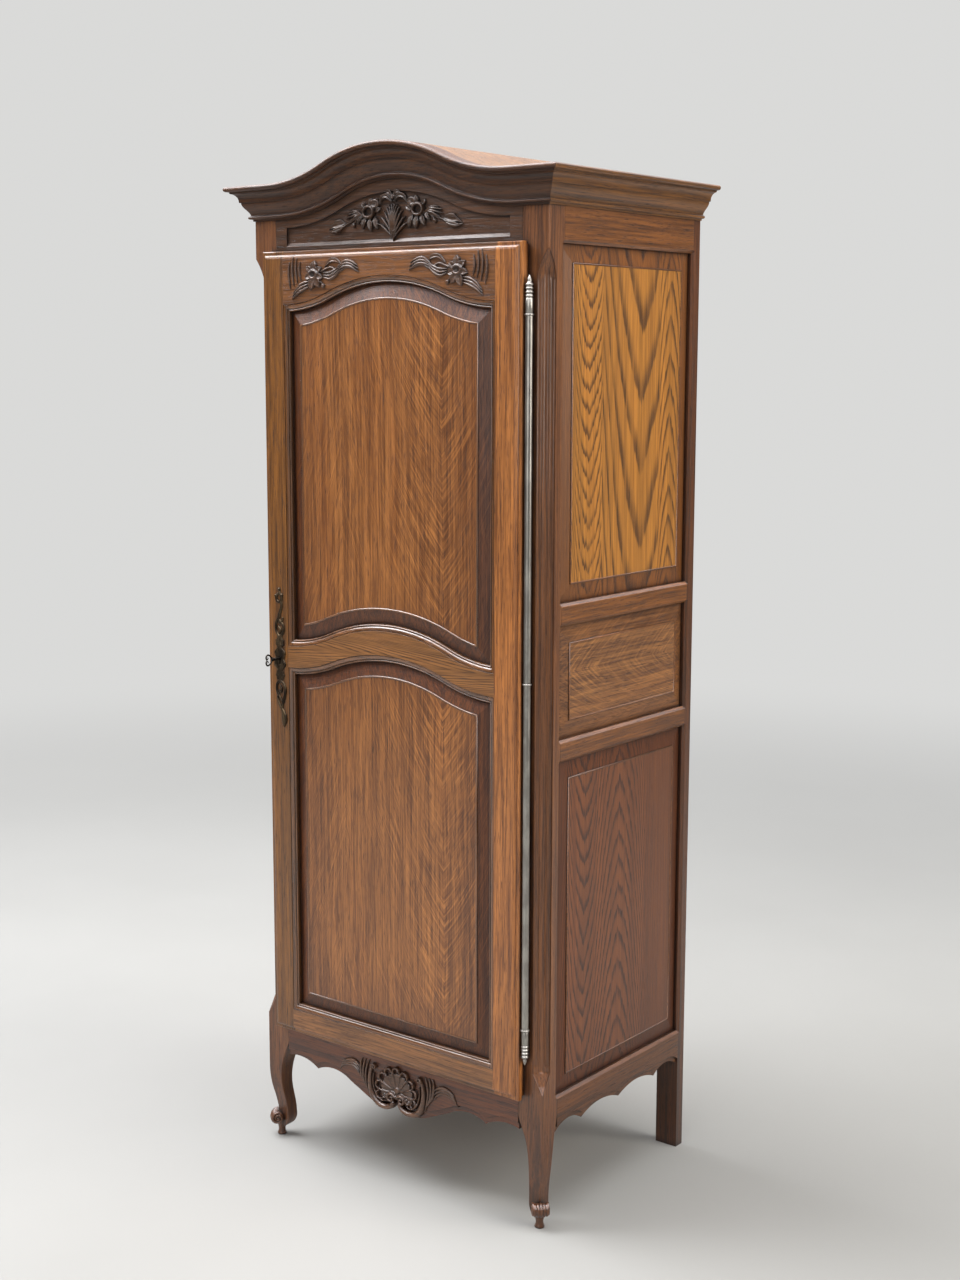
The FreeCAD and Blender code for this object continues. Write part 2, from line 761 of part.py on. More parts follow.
def apron_shape(lift):
    """Apron outline: two lobes in the middle, then a slope, a wave, a cusp and an arch each way."""
    lobe = apron_lobe + lift + s.apron_notch / 2
    cusp = apron_lobe + lift + s.apron_cusp_rise
    wave = apron_wave + lift
    right = [
        (post_inner, wave, s.apron_notch * 0.7),
        (s.apron_cusp_half, cusp, s.apron_notch),
        (s.apron_slope_half, cusp - s.apron_notch / 4, 0),
        (s.apron_lobe_half, lobe, -s.apron_notch / 2),
        (s.apron_lobe_half / 4, lobe, 0),
        (0, apron_lobe + lift + s.apron_notch, 0),
    ]
    right = bent_line(right)
    left = turn_back([(-x, z, -as_size(radius)) for x, z, radius in right])
    ends = [(-post_inner, s.opening_bottom, 0), (post_inner, s.opening_bottom, 0)]
    return right[:-1] + left + ends


apron = body("ApronRail")
pad(apron, "XZ_Plane", apron_shape(s.apron_band), front, front + s.rail_thickness)
pad(apron, "XZ_Plane", apron_shape(0), front + s.apron_band_depth, front + s.rail_thickness)
floor_housing_front = block(
    (-post_inner, post_inner), (board_front, front + s.rail_thickness),
    widened(floor_z, s.joint_gap),
)
finish(
    fuse([
        cut(apron, [floor_housing_front]),
        *rail_tenons(post_inner, s.tenon_length, front_tenon_y, apron_tenon_z),
    ], "ApronRailTenoned"),
    "apron_rail",
)


# ---------------------------------------------------------------- hinge and lock positions

door_bottom = s.opening_bottom - s.door_overlap_bottom
door_top = opening_top + s.door_overlap_top
hinge_bottom = door_bottom + s.hinge_from_bottom
hinge_top = door_top - s.hinge_from_top
hinge_middle = (hinge_bottom + hinge_top) / 2
hinge_x = half_door + s.hinge_offset
hinge_y = front - s.hinge_forward
wing_x = (hinge_x - s.wing_thickness / 2, hinge_x + s.wing_thickness / 2)
wing_y = (hinge_y - s.wing_thickness / 2, hinge_y + s.wing_thickness / 2)
wing_root = (s.hinge_pin_radius + s.hinge_radius) / 2 + s.joint_gap
barrel_wing = (s.barrel_wing_margin, s.barrel_length - s.barrel_wing_margin)
upper_wing_z = (hinge_top + barrel_wing[0], hinge_top + barrel_wing[1])
lower_wing_z = (hinge_bottom - barrel_wing[1], hinge_bottom - barrel_wing[0])

key_x = s.key_from_edge - half_door
bolt_z = (s.key_level - s.bolt_height / 2, s.key_level + s.bolt_height / 2)
lock_y = (door_back, door_back + s.lock_depth)
bolt_back = lock_y[1] - s.lock_wall - s.bolt_gap
bolt_y = (bolt_back - s.bolt_thickness, bolt_back)
lock_x = (s.lock_edge - half_door, s.lock_edge - half_door + s.lock_width)


# ---------------------------------------------------------------- front posts

def square_at(side_x, side_y, inset):
    """Section of the right leg, with its outer corner drawn in from the post's corner."""
    right = half_case - inset
    near = front + inset
    return rectangle((right - side_x, right), (near, near + side_y))


LEG_SECTIONS = [
    # level, sides across and along the case, inset from the post's corner
    (s.leg_top, s.post_width, s.post_depth, as_size(0)),
    ((s.leg_top + s.knee_level) / 2, s.leg_knee * 1.28, s.leg_knee * 1.15, as_size(0)),
    (s.knee_level, s.leg_knee, s.leg_knee, as_size(0)),
    ((s.knee_level + s.ankle_level) / 2, (s.leg_knee + s.leg_ankle) * 0.483,
     (s.leg_knee + s.leg_ankle) * 0.483, s.ankle_inset * 0.3),
    (s.ankle_level, s.leg_ankle, s.leg_ankle, s.ankle_inset),
    (s.scroll_level, s.leg_ankle, s.leg_ankle, s.ankle_inset * 1.09),
    (s.heel_level, s.leg_heel, s.leg_heel, s.ankle_inset),
]
post = body("FrontPost")
pad(post, "XY_Plane", rectangle((post_inner, half_case), (front, post_back)), s.leg_top, frame_top)
loft(post, "XY_Plane", [
    (level, square_at(side_x, side_y, inset)) for level, side_x, side_y, inset in LEG_SECTIONS
])

# The scroll is a drum that lies across the diagonal of the leg.
diagonal = math.sqrt(0.5)
scroll_half = (s.scroll_length / 2) * diagonal
scroll_x = half_case - s.scroll_inset
scroll_y = front + s.scroll_inset
scroll = cylinder(s.scroll_radius, s.scroll_length,
                  scroll_x - scroll_half, scroll_y - scroll_half, s.scroll_level, (1, 1, 0))
peg = cylinder(s.peg_radius, s.scroll_level,
               half_case - s.peg_inset, front + s.peg_inset, as_size(0))


def corner_triangle(size):
    """Waste outside a chamfer of a given size on the right post's outer corner."""
    near = front - s.overrun
    far = half_case + s.overrun
    return [
        (half_case - size - s.overrun, near, 0),
        (far, near, 0),
        (far, front + size + s.overrun, 0),
    ]


chamfer_z = (s.opening_bottom - s.chamfer_under, opening_top + s.chamfer_over)
flat_z = (chamfer_z[0] + s.chamfer_point, chamfer_z[1] - s.chamfer_point)
chamfer_waste = body("ChamferWaste")
loft(chamfer_waste, "XY_Plane", [
    (chamfer_z[0], corner_triangle(as_size(0))),
    (flat_z[0], corner_triangle(s.chamfer_size)),
    (flat_z[1], corner_triangle(s.chamfer_size)),
    (flat_z[1] + s.chamfer_point * 0.6, corner_triangle(s.chamfer_size * 0.6)),
    (chamfer_z[1], corner_triangle(as_size(0))),
])


def flute(share, shorten):
    """Cutter of one flute, at a share of the chamfer's width."""
    stand_off = (s.flute_radius - s.flute_depth) * diagonal
    x = half_case - s.chamfer_size + s.chamfer_size * share + stand_off
    y = front + s.chamfer_size * share - stand_off
    low = flat_z[0] + shorten
    return cylinder(s.flute_radius, flat_z[1] - shorten - low, x, y, low)


flutes = [flute(1 / 6, s.flute_end), flute(3 / 6, as_size(0)), flute(5 / 6, s.flute_end)]
front_mortises = [
    block((post_inner, post_inner + s.tenon_length + s.joint_gap),
          widened(front_tenon_y, s.joint_gap), widened(z, s.joint_gap))
    for z in (frieze_tenon_z, apron_tenon_z)
]
side_mortises = [side_tenons(z, s.joint_gap) for z in side_tenon_z.values()]
post_blank = cut(
    fuse([post, scroll, peg], "LegAndPost"),
    [chamfer_waste, *flutes, *front_mortises, *side_tools, *[pair[0] for pair in side_mortises]],
    "PostBlank",
)
hinge_slots = [
    block(widened(wing_x, s.joint_gap), (front, front + s.wing_depth + s.joint_gap),
          widened(z, s.joint_gap))
    for z in (upper_wing_z, lower_wing_z)
]
bolt_mortise = block(
    (-post_inner - s.bolt_throw, -post_inner),
    widened(bolt_y, s.bolt_gap), widened(bolt_z, s.bolt_gap),
)
finish(cut(post_blank, hinge_slots), "front_post_right")
finish(cut(mirror(post_blank), [bolt_mortise]), "front_post_left")


# ---------------------------------------------------------------- back, floor and ceiling

back_bottom = s.opening_bottom - s.back_bottom_drop
back_rail_z = {
    "bottom": (back_bottom, back_bottom + s.back_rail_width),
    "middle": (s.back_middle_level, s.back_middle_level + s.back_rail_width),
    "top": (opening_top - s.back_top_drop, frame_top),
}
back_bay_z = {
    "lower": (back_rail_z["bottom"][1], back_rail_z["middle"][0]),
    "upper": (back_rail_z["middle"][1], back_rail_z["top"][0]),
}
back_tenon_z = {name: (z[0] + s.shoulder, z[1] - s.shoulder) for name, z in back_rail_z.items()}
stile_groove_z = (
    back_bay_z["lower"][0] - s.groove_depth, back_bay_z["upper"][1] + s.groove_depth)

rear_stile_blank = block((stile_inner, half_case), (stile_front, back), (as_size(0), frame_top))
rear_mortises = [
    block((stile_inner, stile_inner + s.short_tenon + s.joint_gap),
          widened(back_tongue_y, s.joint_gap), widened(z, s.joint_gap))
    for z in back_tenon_z.values()
]
rear_groove = block(
    (stile_inner, stile_inner + s.groove_depth + s.tongue_gap),
    widened(back_tongue_y, s.joint_gap), stile_groove_z,
)
rear_stile = cut(
    rear_stile_blank,
    [*rear_mortises, rear_groove, *side_tools, *[pair[1] for pair in side_mortises]],
    "RearStile",
)
finish(rear_stile, "rear_stile_right")
finish(mirror(rear_stile), "rear_stile_left")

back_grooves = [
    block((-stile_inner, stile_inner), widened(back_tongue_y, s.joint_gap),
          widened(z, s.groove_depth + s.tongue_gap))
    for z in back_bay_z.values()
]
board_housings = [
    block((-stile_inner, stile_inner), (back_rail_y[0], board_back), widened(z, s.joint_gap))
    for z in (floor_z, ceiling_z)
]
back_top = body("BackTopRail")
pad(back_top, "XZ_Plane", arched_top(stile_inner, back_rail_z["top"][0]), *back_rail_y)
back_blanks = {
    "bottom": block((-stile_inner, stile_inner), back_rail_y, back_rail_z["bottom"]),
    "middle": block((-stile_inner, stile_inner), back_rail_y, back_rail_z["middle"]),
    "top": back_top,
}
for name, blank in back_blanks.items():
    rail = fuse([
        cut(blank, [*back_grooves, *board_housings]),
        *rail_tenons(stile_inner, s.short_tenon, back_tongue_y, back_tenon_z[name]),
    ], "BackRail")
    finish(rail, "back_%s_rail" % name)
for name, z in back_bay_z.items():
    tongue = stile_inner + s.groove_depth
    finish(block((-tongue, tongue), back_tongue_y, widened(z, s.groove_depth)),
           "back_%s_panel" % name)


def notched_board(z, name):
    """A board housed in the front and back rails and notched round the four posts."""
    low_y = board_front + s.joint_gap
    high_y = board_back - s.joint_gap
    outer = side_inner - s.board_gap
    near = post_inner - s.board_gap
    far = stile_inner - s.board_gap
    line = [
        (near, low_y, 0),
        (near, post_back + s.board_gap, 0),
        (outer, post_back + s.board_gap, 0),
        (outer, stile_front - s.board_gap, 0),
        (far, stile_front - s.board_gap, 0),
        (far, high_y, 0),
    ]
    mirrored = [(-x, y, 0) for x, y, _ in line]
    owner = body(name)
    return pad(owner, "XY_Plane", line + mirrored[::-1], *z)


finish(notched_board(floor_z, "FloorBoard"), "floor_board")
finish(notched_board(ceiling_z, "CeilingBoard"), "ceiling_board")


# ---------------------------------------------------------------- shelves and cleats

for name, level in (
    ("lower", s.shelf_lower_level),
    ("middle", s.shelf_middle_level),
    ("upper", s.shelf_upper_level),
):
    cleat = block((side_inner - s.cleat_width, side_inner), side_bay_y,
                  (level - s.cleat_height, level))
    finish(cleat, "shelf_cleat_%s_right" % name)
    finish(mirror(cleat), "shelf_cleat_%s_left" % name)
    edge = side_inner - s.board_gap
    shelf = block((-edge, edge), widened(side_bay_y, -s.board_gap), (level, level + s.shelf_thickness))
    finish(shelf, "shelf_%s" % name)


# ---------------------------------------------------------------- cornice and roof

def cornice_profile(wall, outward):
    """Section of the crown moulding: nose, cove, fillet, ovolo and bead, from the top down.

    wall is where it touches the case, and outward is -1 or 1.
    """
    reach = s.cornice_reach
    tall = s.cornice_height
    nose = s.cornice_nose
    bead = s.cornice_bead
    bead_top = tall * 0.85
    steps = [
        # out from the wall, down from the top
        (0, 0),
        (reach, 0),
        (reach, nose),
        (reach * 0.77, nose),
        (reach * 0.69, tall * 0.34),
        (reach * 0.42, tall * 0.45),
        (reach * 0.42, tall * 0.52),
        (reach * 0.22, tall * 0.70),
        (reach * 0.14, bead_top),
        (reach * 0.14 + bead * 0.5, bead_top + bead * 0.5),
        (reach * 0.14, bead_top + bead),
        (reach * 0.07, tall),
        (0, tall),
    ]
    return [(wall + outward * as_size(out), s.case_height - down, 0) for out, down in steps]


run_end = half_case + 1.3 * s.cornice_reach
cornice_run = body("CorniceFrontRun")
path = draw(
    sketch_on(cornice_run, "XZ_Plane", -front),
    [(-run_end, s.case_height, 0)] + arch.line() + [(run_end, s.case_height, 0)],
    closed=False,
)
section = draw(sketch_on(cornice_run, "YZ_Plane", -run_end), cornice_profile(front, -1))
sweep = cornice_run.newObject("PartDesign::AdditivePipe", "CorniceSweep")
sweep.Profile = section
sweep.Spine = (path, ["Edge%d" % number for number in range(1, 6)])
sweep.Mode = "Standard"

# Both mitres lie on the upright planes at 45 degrees through the corners of the case.
mitre_reach = 1.4 * s.cornice_reach
mitre_over = s.joint_gap
mitre_z = (
    s.case_height - s.cornice_height - mitre_over,
    s.case_height + s.arch_rise + mitre_over,
)
front_waste = [
    (half_case - mitre_over, front + mitre_over, 0),
    (half_case + mitre_reach, front - mitre_reach, 0),
    (half_case + mitre_reach, front + mitre_over, 0),
]
pocket(cornice_run, "XY_Plane", front_waste, *mitre_z)
pocket(cornice_run, "XY_Plane", [(-x, y, 0) for x, y, _ in front_waste[::-1]], *mitre_z)
finish(cornice_run, "cornice_front")

cornice_return = body("CorniceReturn")
pad(cornice_return, "XZ_Plane", cornice_profile(half_case, 1), front - 1.2 * s.cornice_reach, back)
pocket(cornice_return, "XY_Plane", [
    (half_case - mitre_over, front + mitre_over, 0),
    (half_case - mitre_over, front - mitre_reach, 0),
    (half_case + mitre_reach, front - mitre_reach, 0),
], *mitre_z)
finish(cornice_return, "cornice_right")
finish(mirror(cornice_return), "cornice_left")

roof = body("RoofBoard")
roof_edge = half_case - s.joint_gap
roof_top = [(-roof_edge, s.case_height, 0)] + arch.line() + [(roof_edge, s.case_height, 0)]
roof_under = (
    [(-roof_edge, frame_top, 0)] + arch.line(-s.roof_thickness) + [(roof_edge, frame_top, 0)]
)
pad(roof, "XZ_Plane", closed_loop(roof_under, roof_top), front, back)
finish(roof, "roof_panel")


# ---------------------------------------------------------------- door

frame_half = half_door - s.door_stile
bottom_rail_top = door_bottom + s.door_bottom_rail
top_arch = Ogee(frame_half, door_top - s.door_top_rail, s.door_top_rise, DOOR_SPLIT)
middle_top = Ogee(frame_half, s.middle_level + s.middle_height, s.middle_top_rise, DOOR_SPLIT)
middle_bottom = Ogee(frame_half, s.middle_level, s.middle_bottom_rise, DOOR_SPLIT)


def upper_loop(inset):
    """Outline of the upper opening, drawn in by an inset."""
    inset = as_size(inset)
    reach = frame_half - inset
    return closed_loop(middle_top.line(inset, reach), top_arch.line(-inset, reach))


def lower_loop(inset):
    """Outline of the lower opening, drawn in by an inset."""
    inset = as_size(inset)
    reach = frame_half - inset
    return closed_loop(
        level_line(reach, bottom_rail_top + inset), middle_bottom.line(-inset, reach))


# The moulding is a quirk and an ovolo, each step an (inset, depth) share of its size.
SIGHT_STEPS = ((0, -0.2), (0.06, 0.36), (1, 1))
sight_ovolo = s.sight_width - s.sight_fillet
panel_tongue_y = (
    door_back - s.panel_back_recess - s.tongue_thickness, door_back - s.panel_back_recess)
groove_inset = s.sight_width - s.groove_depth - s.tongue_gap
tongue_inset = s.sight_width - s.groove_depth
field_inset = s.sight_width + s.field_bevel


def opening_tools(name, loop):
    """Waste round one opening of the door: the groove and the moulding's hollow."""
    groove = body(name + "Groove")
    pad(groove, "XZ_Plane", loop(groove_inset),
        panel_tongue_y[0] - s.joint_gap, panel_tongue_y[1] + s.joint_gap)
    moulding = body(name + "Moulding")
    loft(moulding, "XZ_Plane", [
        (door_front + s.sight_drop * depth, loop(sight_ovolo * share))
        for share, depth in SIGHT_STEPS
    ])
    return [groove, moulding]


def fielded_panel(name, loop):
    """A panel with a tongue all round, a bevel and a raised field."""
    owner = body(name)
    field = door_front + s.field_recess
    pad(owner, "XZ_Plane", loop(tongue_inset), *panel_tongue_y)
    loft(owner, "XZ_Plane", [
        (panel_tongue_y[0], loop(s.sight_width + s.joint_gap)),
        (field + s.field_step, loop(field_inset)),
    ])
    return pad(owner, "XZ_Plane", loop(field_inset + s.tongue_gap), field, panel_tongue_y[0])


# The door's outer edge: an ovolo, a flat member with a rounded edge, and a lip behind it.
edge_x = (-half_door, half_door)
edge_z = (door_bottom, door_top)
lip_face = door_front + s.lip_drop
lip_round = s.lip_fillet / 5
ovolo_in = s.lip_fillet + s.lip_ovolo
edge_steps = [
    # level, inset from the door's edge
    (door_front, ovolo_in),
    (door_front + s.lip_drop * 0.2, ovolo_in - s.lip_ovolo * 0.52),
    (door_front + s.lip_drop * 0.53, ovolo_in - s.lip_ovolo * 0.85),
    (lip_face, s.lip_fillet),
]


def door_slope(near, far):
    """A slice of the door between two (level, inset) steps of its moulded edge."""
    return tapered("XZ_Plane", *[
        (level, widened(edge_x, -inset), widened(edge_z, -inset)) for level, inset in (near, far)
    ])


envelope = fuse([
    *[door_slope(near, far) for near, far in zip(edge_steps, edge_steps[1:])],
    door_slope((lip_face, lip_round), (lip_face + lip_round, as_size(0))),
    block(edge_x, (lip_face + lip_round, door_front + s.lip_thickness), edge_z),
    block(widened(edge_x, -s.lip_width), (lip_face + lip_round, door_back),
          widened(edge_z, -s.lip_width)),
], "DoorEnvelope")

# Keyhole: a round hole with a slot for the bit, through everything in its way.
bit_x = (key_x - s.bit_thickness / 2, key_x + s.bit_thickness / 2)
bit_slot_x = widened(bit_x, s.keyhole_gap)
bit_slot_z = (s.key_level - s.bit_length - s.keyhole_gap, s.key_level)
hole_y = (door_front - 2 * s.plate_thickness, door_back + s.lock_wall)
keyhole = fuse([
    cylinder(s.keyhole_radius, hole_y[1] - hole_y[0], key_x, hole_y[0], s.key_level, (0, 1, 0)),
    block(bit_slot_x, hole_y, bit_slot_z),
], "Keyhole")


def end_wings(low, high):
    """Levels of the two wings of a tube."""
    return [
        (low + s.wing_margin, low + s.wing_margin + s.wing_height),
        (high - s.wing_margin - s.wing_height, high - s.wing_margin),
    ]


tube_wings = {
    "upper": end_wings(hinge_middle, hinge_top),
    "lower": end_wings(hinge_bottom, hinge_middle),
}
wing_slots = [
    block((half_door - s.wing_depth - s.joint_gap, half_door),
          widened(wing_y, s.joint_gap), widened(z, s.joint_gap))
    for pair in tube_wings.values() for z in pair
]

tenon_back = panel_tongue_y[1] + s.joint_gap
door_tenon_y = (tenon_back - s.door_tenon_thickness, tenon_back)
tenon_end = half_door - s.wing_depth - s.door_tenon_wall
middle_tenon_end = -key_x - s.keyhole_radius - s.keyhole_wall
door_tenons = {
    # reach from the middle of the door, levels
    "top": (tenon_end, (top_arch.level + s.shoulder, door_top - 2 * s.shoulder)),
    "middle": (middle_tenon_end, (middle_bottom.level, middle_top.level)),
    "bottom": (tenon_end, (door_bottom + 2 * s.shoulder, bottom_rail_top)),
}


def door_joint(name, gap=0):
    """The two tenons of a door rail, or with a gap the mortises for them."""
    reach, z = door_tenons[name]
    return rail_tenons(frame_half, reach - frame_half, door_tenon_y, z, gap)


door_mortises = {name: door_joint(name, s.joint_gap) for name in door_tenons}
door_waste = opening_tools("Upper", upper_loop) + opening_tools("Lower", lower_loop)


def mitre(ogee, down):
    """Height of the moulding's inner corner below or above an arch's end."""
    shift = -s.sight_width if down else s.sight_width
    return ogee.end_height(shift, frame_half - s.sight_width)


# Right stile: its inner edge steps out between the rails, with a mitre at every corner.
sight_half = frame_half - s.sight_width
stile_outline = [
    (half_door, door_bottom, 0),
    (half_door, door_top, 0),
    (frame_half, door_top, 0),
    (frame_half, top_arch.level, 0),
    (sight_half, mitre(top_arch, True), 0),
    (sight_half, mitre(middle_top, False), 0),
    (frame_half, middle_top.level, 0),
    (frame_half, middle_bottom.level, 0),
    (sight_half, mitre(middle_bottom, True), 0),
    (sight_half, bottom_rail_top + s.sight_width, 0),
    (frame_half, bottom_rail_top, 0),
    (frame_half, door_bottom, 0),
]
for side, sign in (("hinge", 1), ("lock", -1)):
    stile = body("DoorStile")
    pad(stile, "XZ_Plane", [(sign * x, z, r) for x, z, r in stile_outline], door_front, door_back)
    mortises = [pair[1 if sign > 0 else 0] for pair in door_mortises.values()]
    extra = wing_slots if sign > 0 else [keyhole]
    shape = cut(common(stile, envelope), [*door_waste, *mortises, *extra])
    finish(shape, "door_%s_stile" % side)

rail_outlines = {
    "top": closed_loop(
        [(-frame_half, top_arch.level, 0)]
        + top_arch.line(-s.sight_width, sight_half)
        + [(frame_half, top_arch.level, 0)],
        level_line(frame_half, door_top),
    ),
    "middle": closed_loop(
        [(-frame_half, middle_bottom.level, 0)]
        + middle_bottom.line(-s.sight_width, sight_half)
        + [(frame_half, middle_bottom.level, 0)],
        [(-frame_half, middle_top.level, 0)]
        + middle_top.line(s.sight_width, sight_half)
        + [(frame_half, middle_top.level, 0)],
    ),
    "bottom": closed_loop(
        level_line(frame_half, door_bottom),
        [(-frame_half, bottom_rail_top, 0)]
        + level_line(sight_half, bottom_rail_top + s.sight_width)
        + [(frame_half, bottom_rail_top, 0)],
    ),
}
for name, outline in rail_outlines.items():
    rail = body("DoorRail")
    pad(rail, "XZ_Plane", outline, door_front, door_back)
    shape = cut(common(rail, envelope), door_waste)
    finish(fuse([shape, *door_joint(name)]), "door_%s_rail" % name)

finish(fielded_panel("UpperPanel", upper_loop), "door_upper_panel")
finish(fielded_panel("LowerPanel", lower_loop), "door_lower_panel")


# ---------------------------------------------------------------- hinge

bore = s.hinge_pin_radius + s.hinge_fit
tube = s.hinge_radius
ring = s.ring_radius
pin_end = s.barrel_length + s.bead_height / 2
pin_z = (hinge_bottom - pin_end, hinge_top + pin_end)


def fixed_barrel(name, level, up):
    """A turned barrel with a bead and a finial; up is 1 for the upper one, else -1."""
    neck = tube - s.bead_depth
    plain = s.barrel_length
    bead = plain + s.bead_groove
    point = bead + s.bead_height
    steps = [
        (bore, 0),
        (tube, 0),
        (tube, plain),
        (neck, plain),
        (neck, bead),
        (tube, bead),
        (tube, point),
        (0, point + s.finial_length),
        (0, pin_end + s.hinge_fit),
        (bore, pin_end + s.hinge_fit),
    ]
    return turned(name, hinge_x, hinge_y, [(radius, level + up * rise, 0) for radius, rise in steps])


def sleeve(name, low, high, ring_below=False):
    """A tube of the hinge with a ring at its top, and one at its bottom if asked."""
    ring_top = low + s.ring_height
    ring_low = high - s.ring_height
    lower_end = [(ring, low, 0), (ring, ring_top, 0), (tube, ring_top, 0)]
    upper_end = [(tube, ring_low, 0), (ring, ring_low, 0), (ring, high, 0), (bore, high, 0)]
    foot = lower_end if ring_below else [(tube, low, 0)]
    return turned(name, hinge_x, hinge_y, [(bore, low, 0)] + foot + upper_end)


barrels = []
for level, up, z in ((hinge_top, 1, upper_wing_z), (hinge_bottom, -1, lower_wing_z)):
    barrels.append(fixed_barrel("HingeBarrel", level, up))
    barrels.append(block(wing_x, (hinge_y + wing_root, front + s.wing_depth), z))
finish(fuse(barrels), "hinge_barrels")

sleeves = {
    "upper": sleeve("UpperSleeve", hinge_middle + s.hinge_play, hinge_top - s.hinge_play),
    "lower": sleeve("LowerSleeve", hinge_bottom + s.hinge_play, hinge_middle, ring_below=True),
}
for name, tube_body in sleeves.items():
    wings = [
        block((half_door - s.wing_depth, hinge_x - wing_root), wing_y, z)
        for z in tube_wings[name]
    ]
    finish(fuse([tube_body, *wings]), "hinge_%s_sleeve" % name)

finish(
    cylinder(s.hinge_pin_radius, pin_z[1] - pin_z[0], hinge_x, hinge_y, pin_z[0]), "hinge_pin")


# ---------------------------------------------------------------- lock, key and escutcheon

case_z = (s.key_level - s.lock_height / 2, s.key_level + s.lock_height / 2)
case_front = (lock_y[0], lock_y[0] + s.lock_wall)
case_box = block(lock_x, lock_y, case_z)
flange = block((lock_x[0], lock_x[1] - s.lock_flange / 2), case_front,
               widened(case_z, s.lock_flange))
case_room = block(widened(lock_x, -s.lock_wall), widened(lock_y, -s.lock_wall),
                  widened(case_z, -s.lock_wall))
bolt_slot = block((lock_x[0], lock_x[0] + s.lock_wall), widened(bolt_y, s.bolt_gap / 2),
                  widened(bolt_z, s.bolt_gap))
collar_hole = cylinder(s.curtain_radius + s.curtain_gap, s.lock_wall,
                       key_x, lock_y[0], s.key_level, (0, 1, 0))
bit_slot = block(bit_slot_x, case_front, bit_slot_z)
finish(
    cut(fuse([case_box, flange]), [case_room, bolt_slot, collar_hole, bit_slot]), "lock_case")

# The curtain is a slotted collar that turns with the key in the front of the case.
curtain_y = (lock_y[0] + s.joint_gap, lock_y[0] + s.joint_gap + s.curtain_depth)
curtain = cylinder(s.curtain_radius, s.curtain_depth, key_x, curtain_y[0], s.key_level, (0, 1, 0))
curtain_bore = cylinder(s.key_radius + s.hinge_fit, s.curtain_depth, key_x, curtain_y[0],
                        s.key_level, (0, 1, 0))
curtain_slot = block(bit_slot_x, curtain_y, (s.key_level - s.bit_length, s.key_level))
finish(cut(curtain, [curtain_bore, curtain_slot]), "lock_curtain")

bolt_x = (lock_x[0], lock_x[1] - s.lock_wall - s.bolt_gap)
finish(block(bolt_x, bolt_y, bolt_z), "lock_bolt")

keeper_x = (-post_inner, -post_inner + s.keeper_thickness)
keeper_y = (front + s.keeper_thickness, bolt_y[1] + s.keeper_margin)
keeper = block(keeper_x, keeper_y, widened(bolt_z, s.keeper_margin))
keeper_hole = block(keeper_x, widened(bolt_y, s.bolt_gap), widened(bolt_z, s.bolt_gap))
finish(cut(keeper, [keeper_hole]), "lock_keeper")

# Key: an open bow, a round shank, and a bit that hangs down as the key goes in.
key_tip = door_front - s.key_reach
bow_end = key_tip + s.bow_length
bit_y = (curtain_y[1] + s.curtain_gap, curtain_y[1] + s.curtain_gap + s.bit_width)


def bow_outline(rim):
    """Outline of the bow, drawn in by the rim."""
    wide = s.bow_half_width - rim
    half = wide * 0.35
    side = (
        (bow_end - rim, s.key_radius),
        (bow_end - s.bow_length * 0.45, wide),
        (key_tip + s.bow_length * 0.25, wide),
        (key_tip + rim, half),
    )
    lower = [(y, s.key_level - reach, 0) for y, reach in side]
    upper = [(y, s.key_level + reach, 0) for y, reach in side]
    return upper + lower[::-1]


bow = body("KeyBow")
bow_x = (key_x - s.bow_thickness / 2, key_x + s.bow_thickness / 2)
pad(bow, "YZ_Plane", bow_outline(as_size(0)), *bow_x)
pocket(bow, "YZ_Plane", bow_outline(s.bow_rim), *bow_x)
shank_start = bow_end - s.bow_rim / 2
shank = cylinder(s.key_radius, bit_y[1] - shank_start, key_x, shank_start, s.key_level, (0, 1, 0))
bit = block(bit_x, bit_y, (s.key_level - s.bit_length, s.key_level))
finish(fuse([bow, shank, bit]), "key")


# Right edge of the plate from top to bottom: height and width, as shares of its half sizes.
PLATE_EDGE = (
    (1.00, 0.15),
    (0.94, 0.50),
    (0.86, 0.30),
    (0.67, 0.28),
    (0.56, 0.80),
    (0.42, 0.85),
    (0.30, 0.44),
    (0.10, 0.80),
    (-0.10, 0.80),
    (-0.30, 0.44),
    (-0.42, 0.90),
    (-0.60, 0.85),
    (-0.72, 0.28),
    (-0.82, 0.40),
    (-1.00, 0.06),
)
right_side = [
    (key_x + s.plate_half_width * width, s.key_level + s.plate_half_height * height, 0)
    for height, width in PLATE_EDGE
]
left_side = [(2 * key_x - x, z, 0) for x, z, _ in right_side]
plate_y = (door_front - s.plate_thickness, door_front)
plate = body("EscutcheonPlate")
pad(plate, "XZ_Plane", right_side + left_side[::-1], *plate_y)
finish(cut(plate, [keyhole]), "escutcheon_plate")


# ---------------------------------------------------------------- checks and export

def check_and_export():
    """Stop on any failed object or poor shape, then write one STEP file for each part."""
    doc.recompute()
    failed = [
        thing.Name for thing in doc.Objects
        if any(word in state for state in thing.State for word in ("Invalid", "Error"))
    ]
    if failed:
        raise RuntimeError("failed objects: %s" % ", ".join(failed))
    for thing in parts:
        if thing.Shape.isNull() or not thing.Shape.isValid() or thing.Shape.Volume <= 0:
            raise RuntimeError("bad shape: %s" % thing.Label)
    os.makedirs("parts", exist_ok=True)
    for thing in parts:
        thing.Shape.exportStep(os.path.join("parts", thing.Label + ".step"))
    print("%d parts written" % len(parts))


check_and_export()
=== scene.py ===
import math

import bpy
import numpy as np
from mathutils import Matrix, Vector


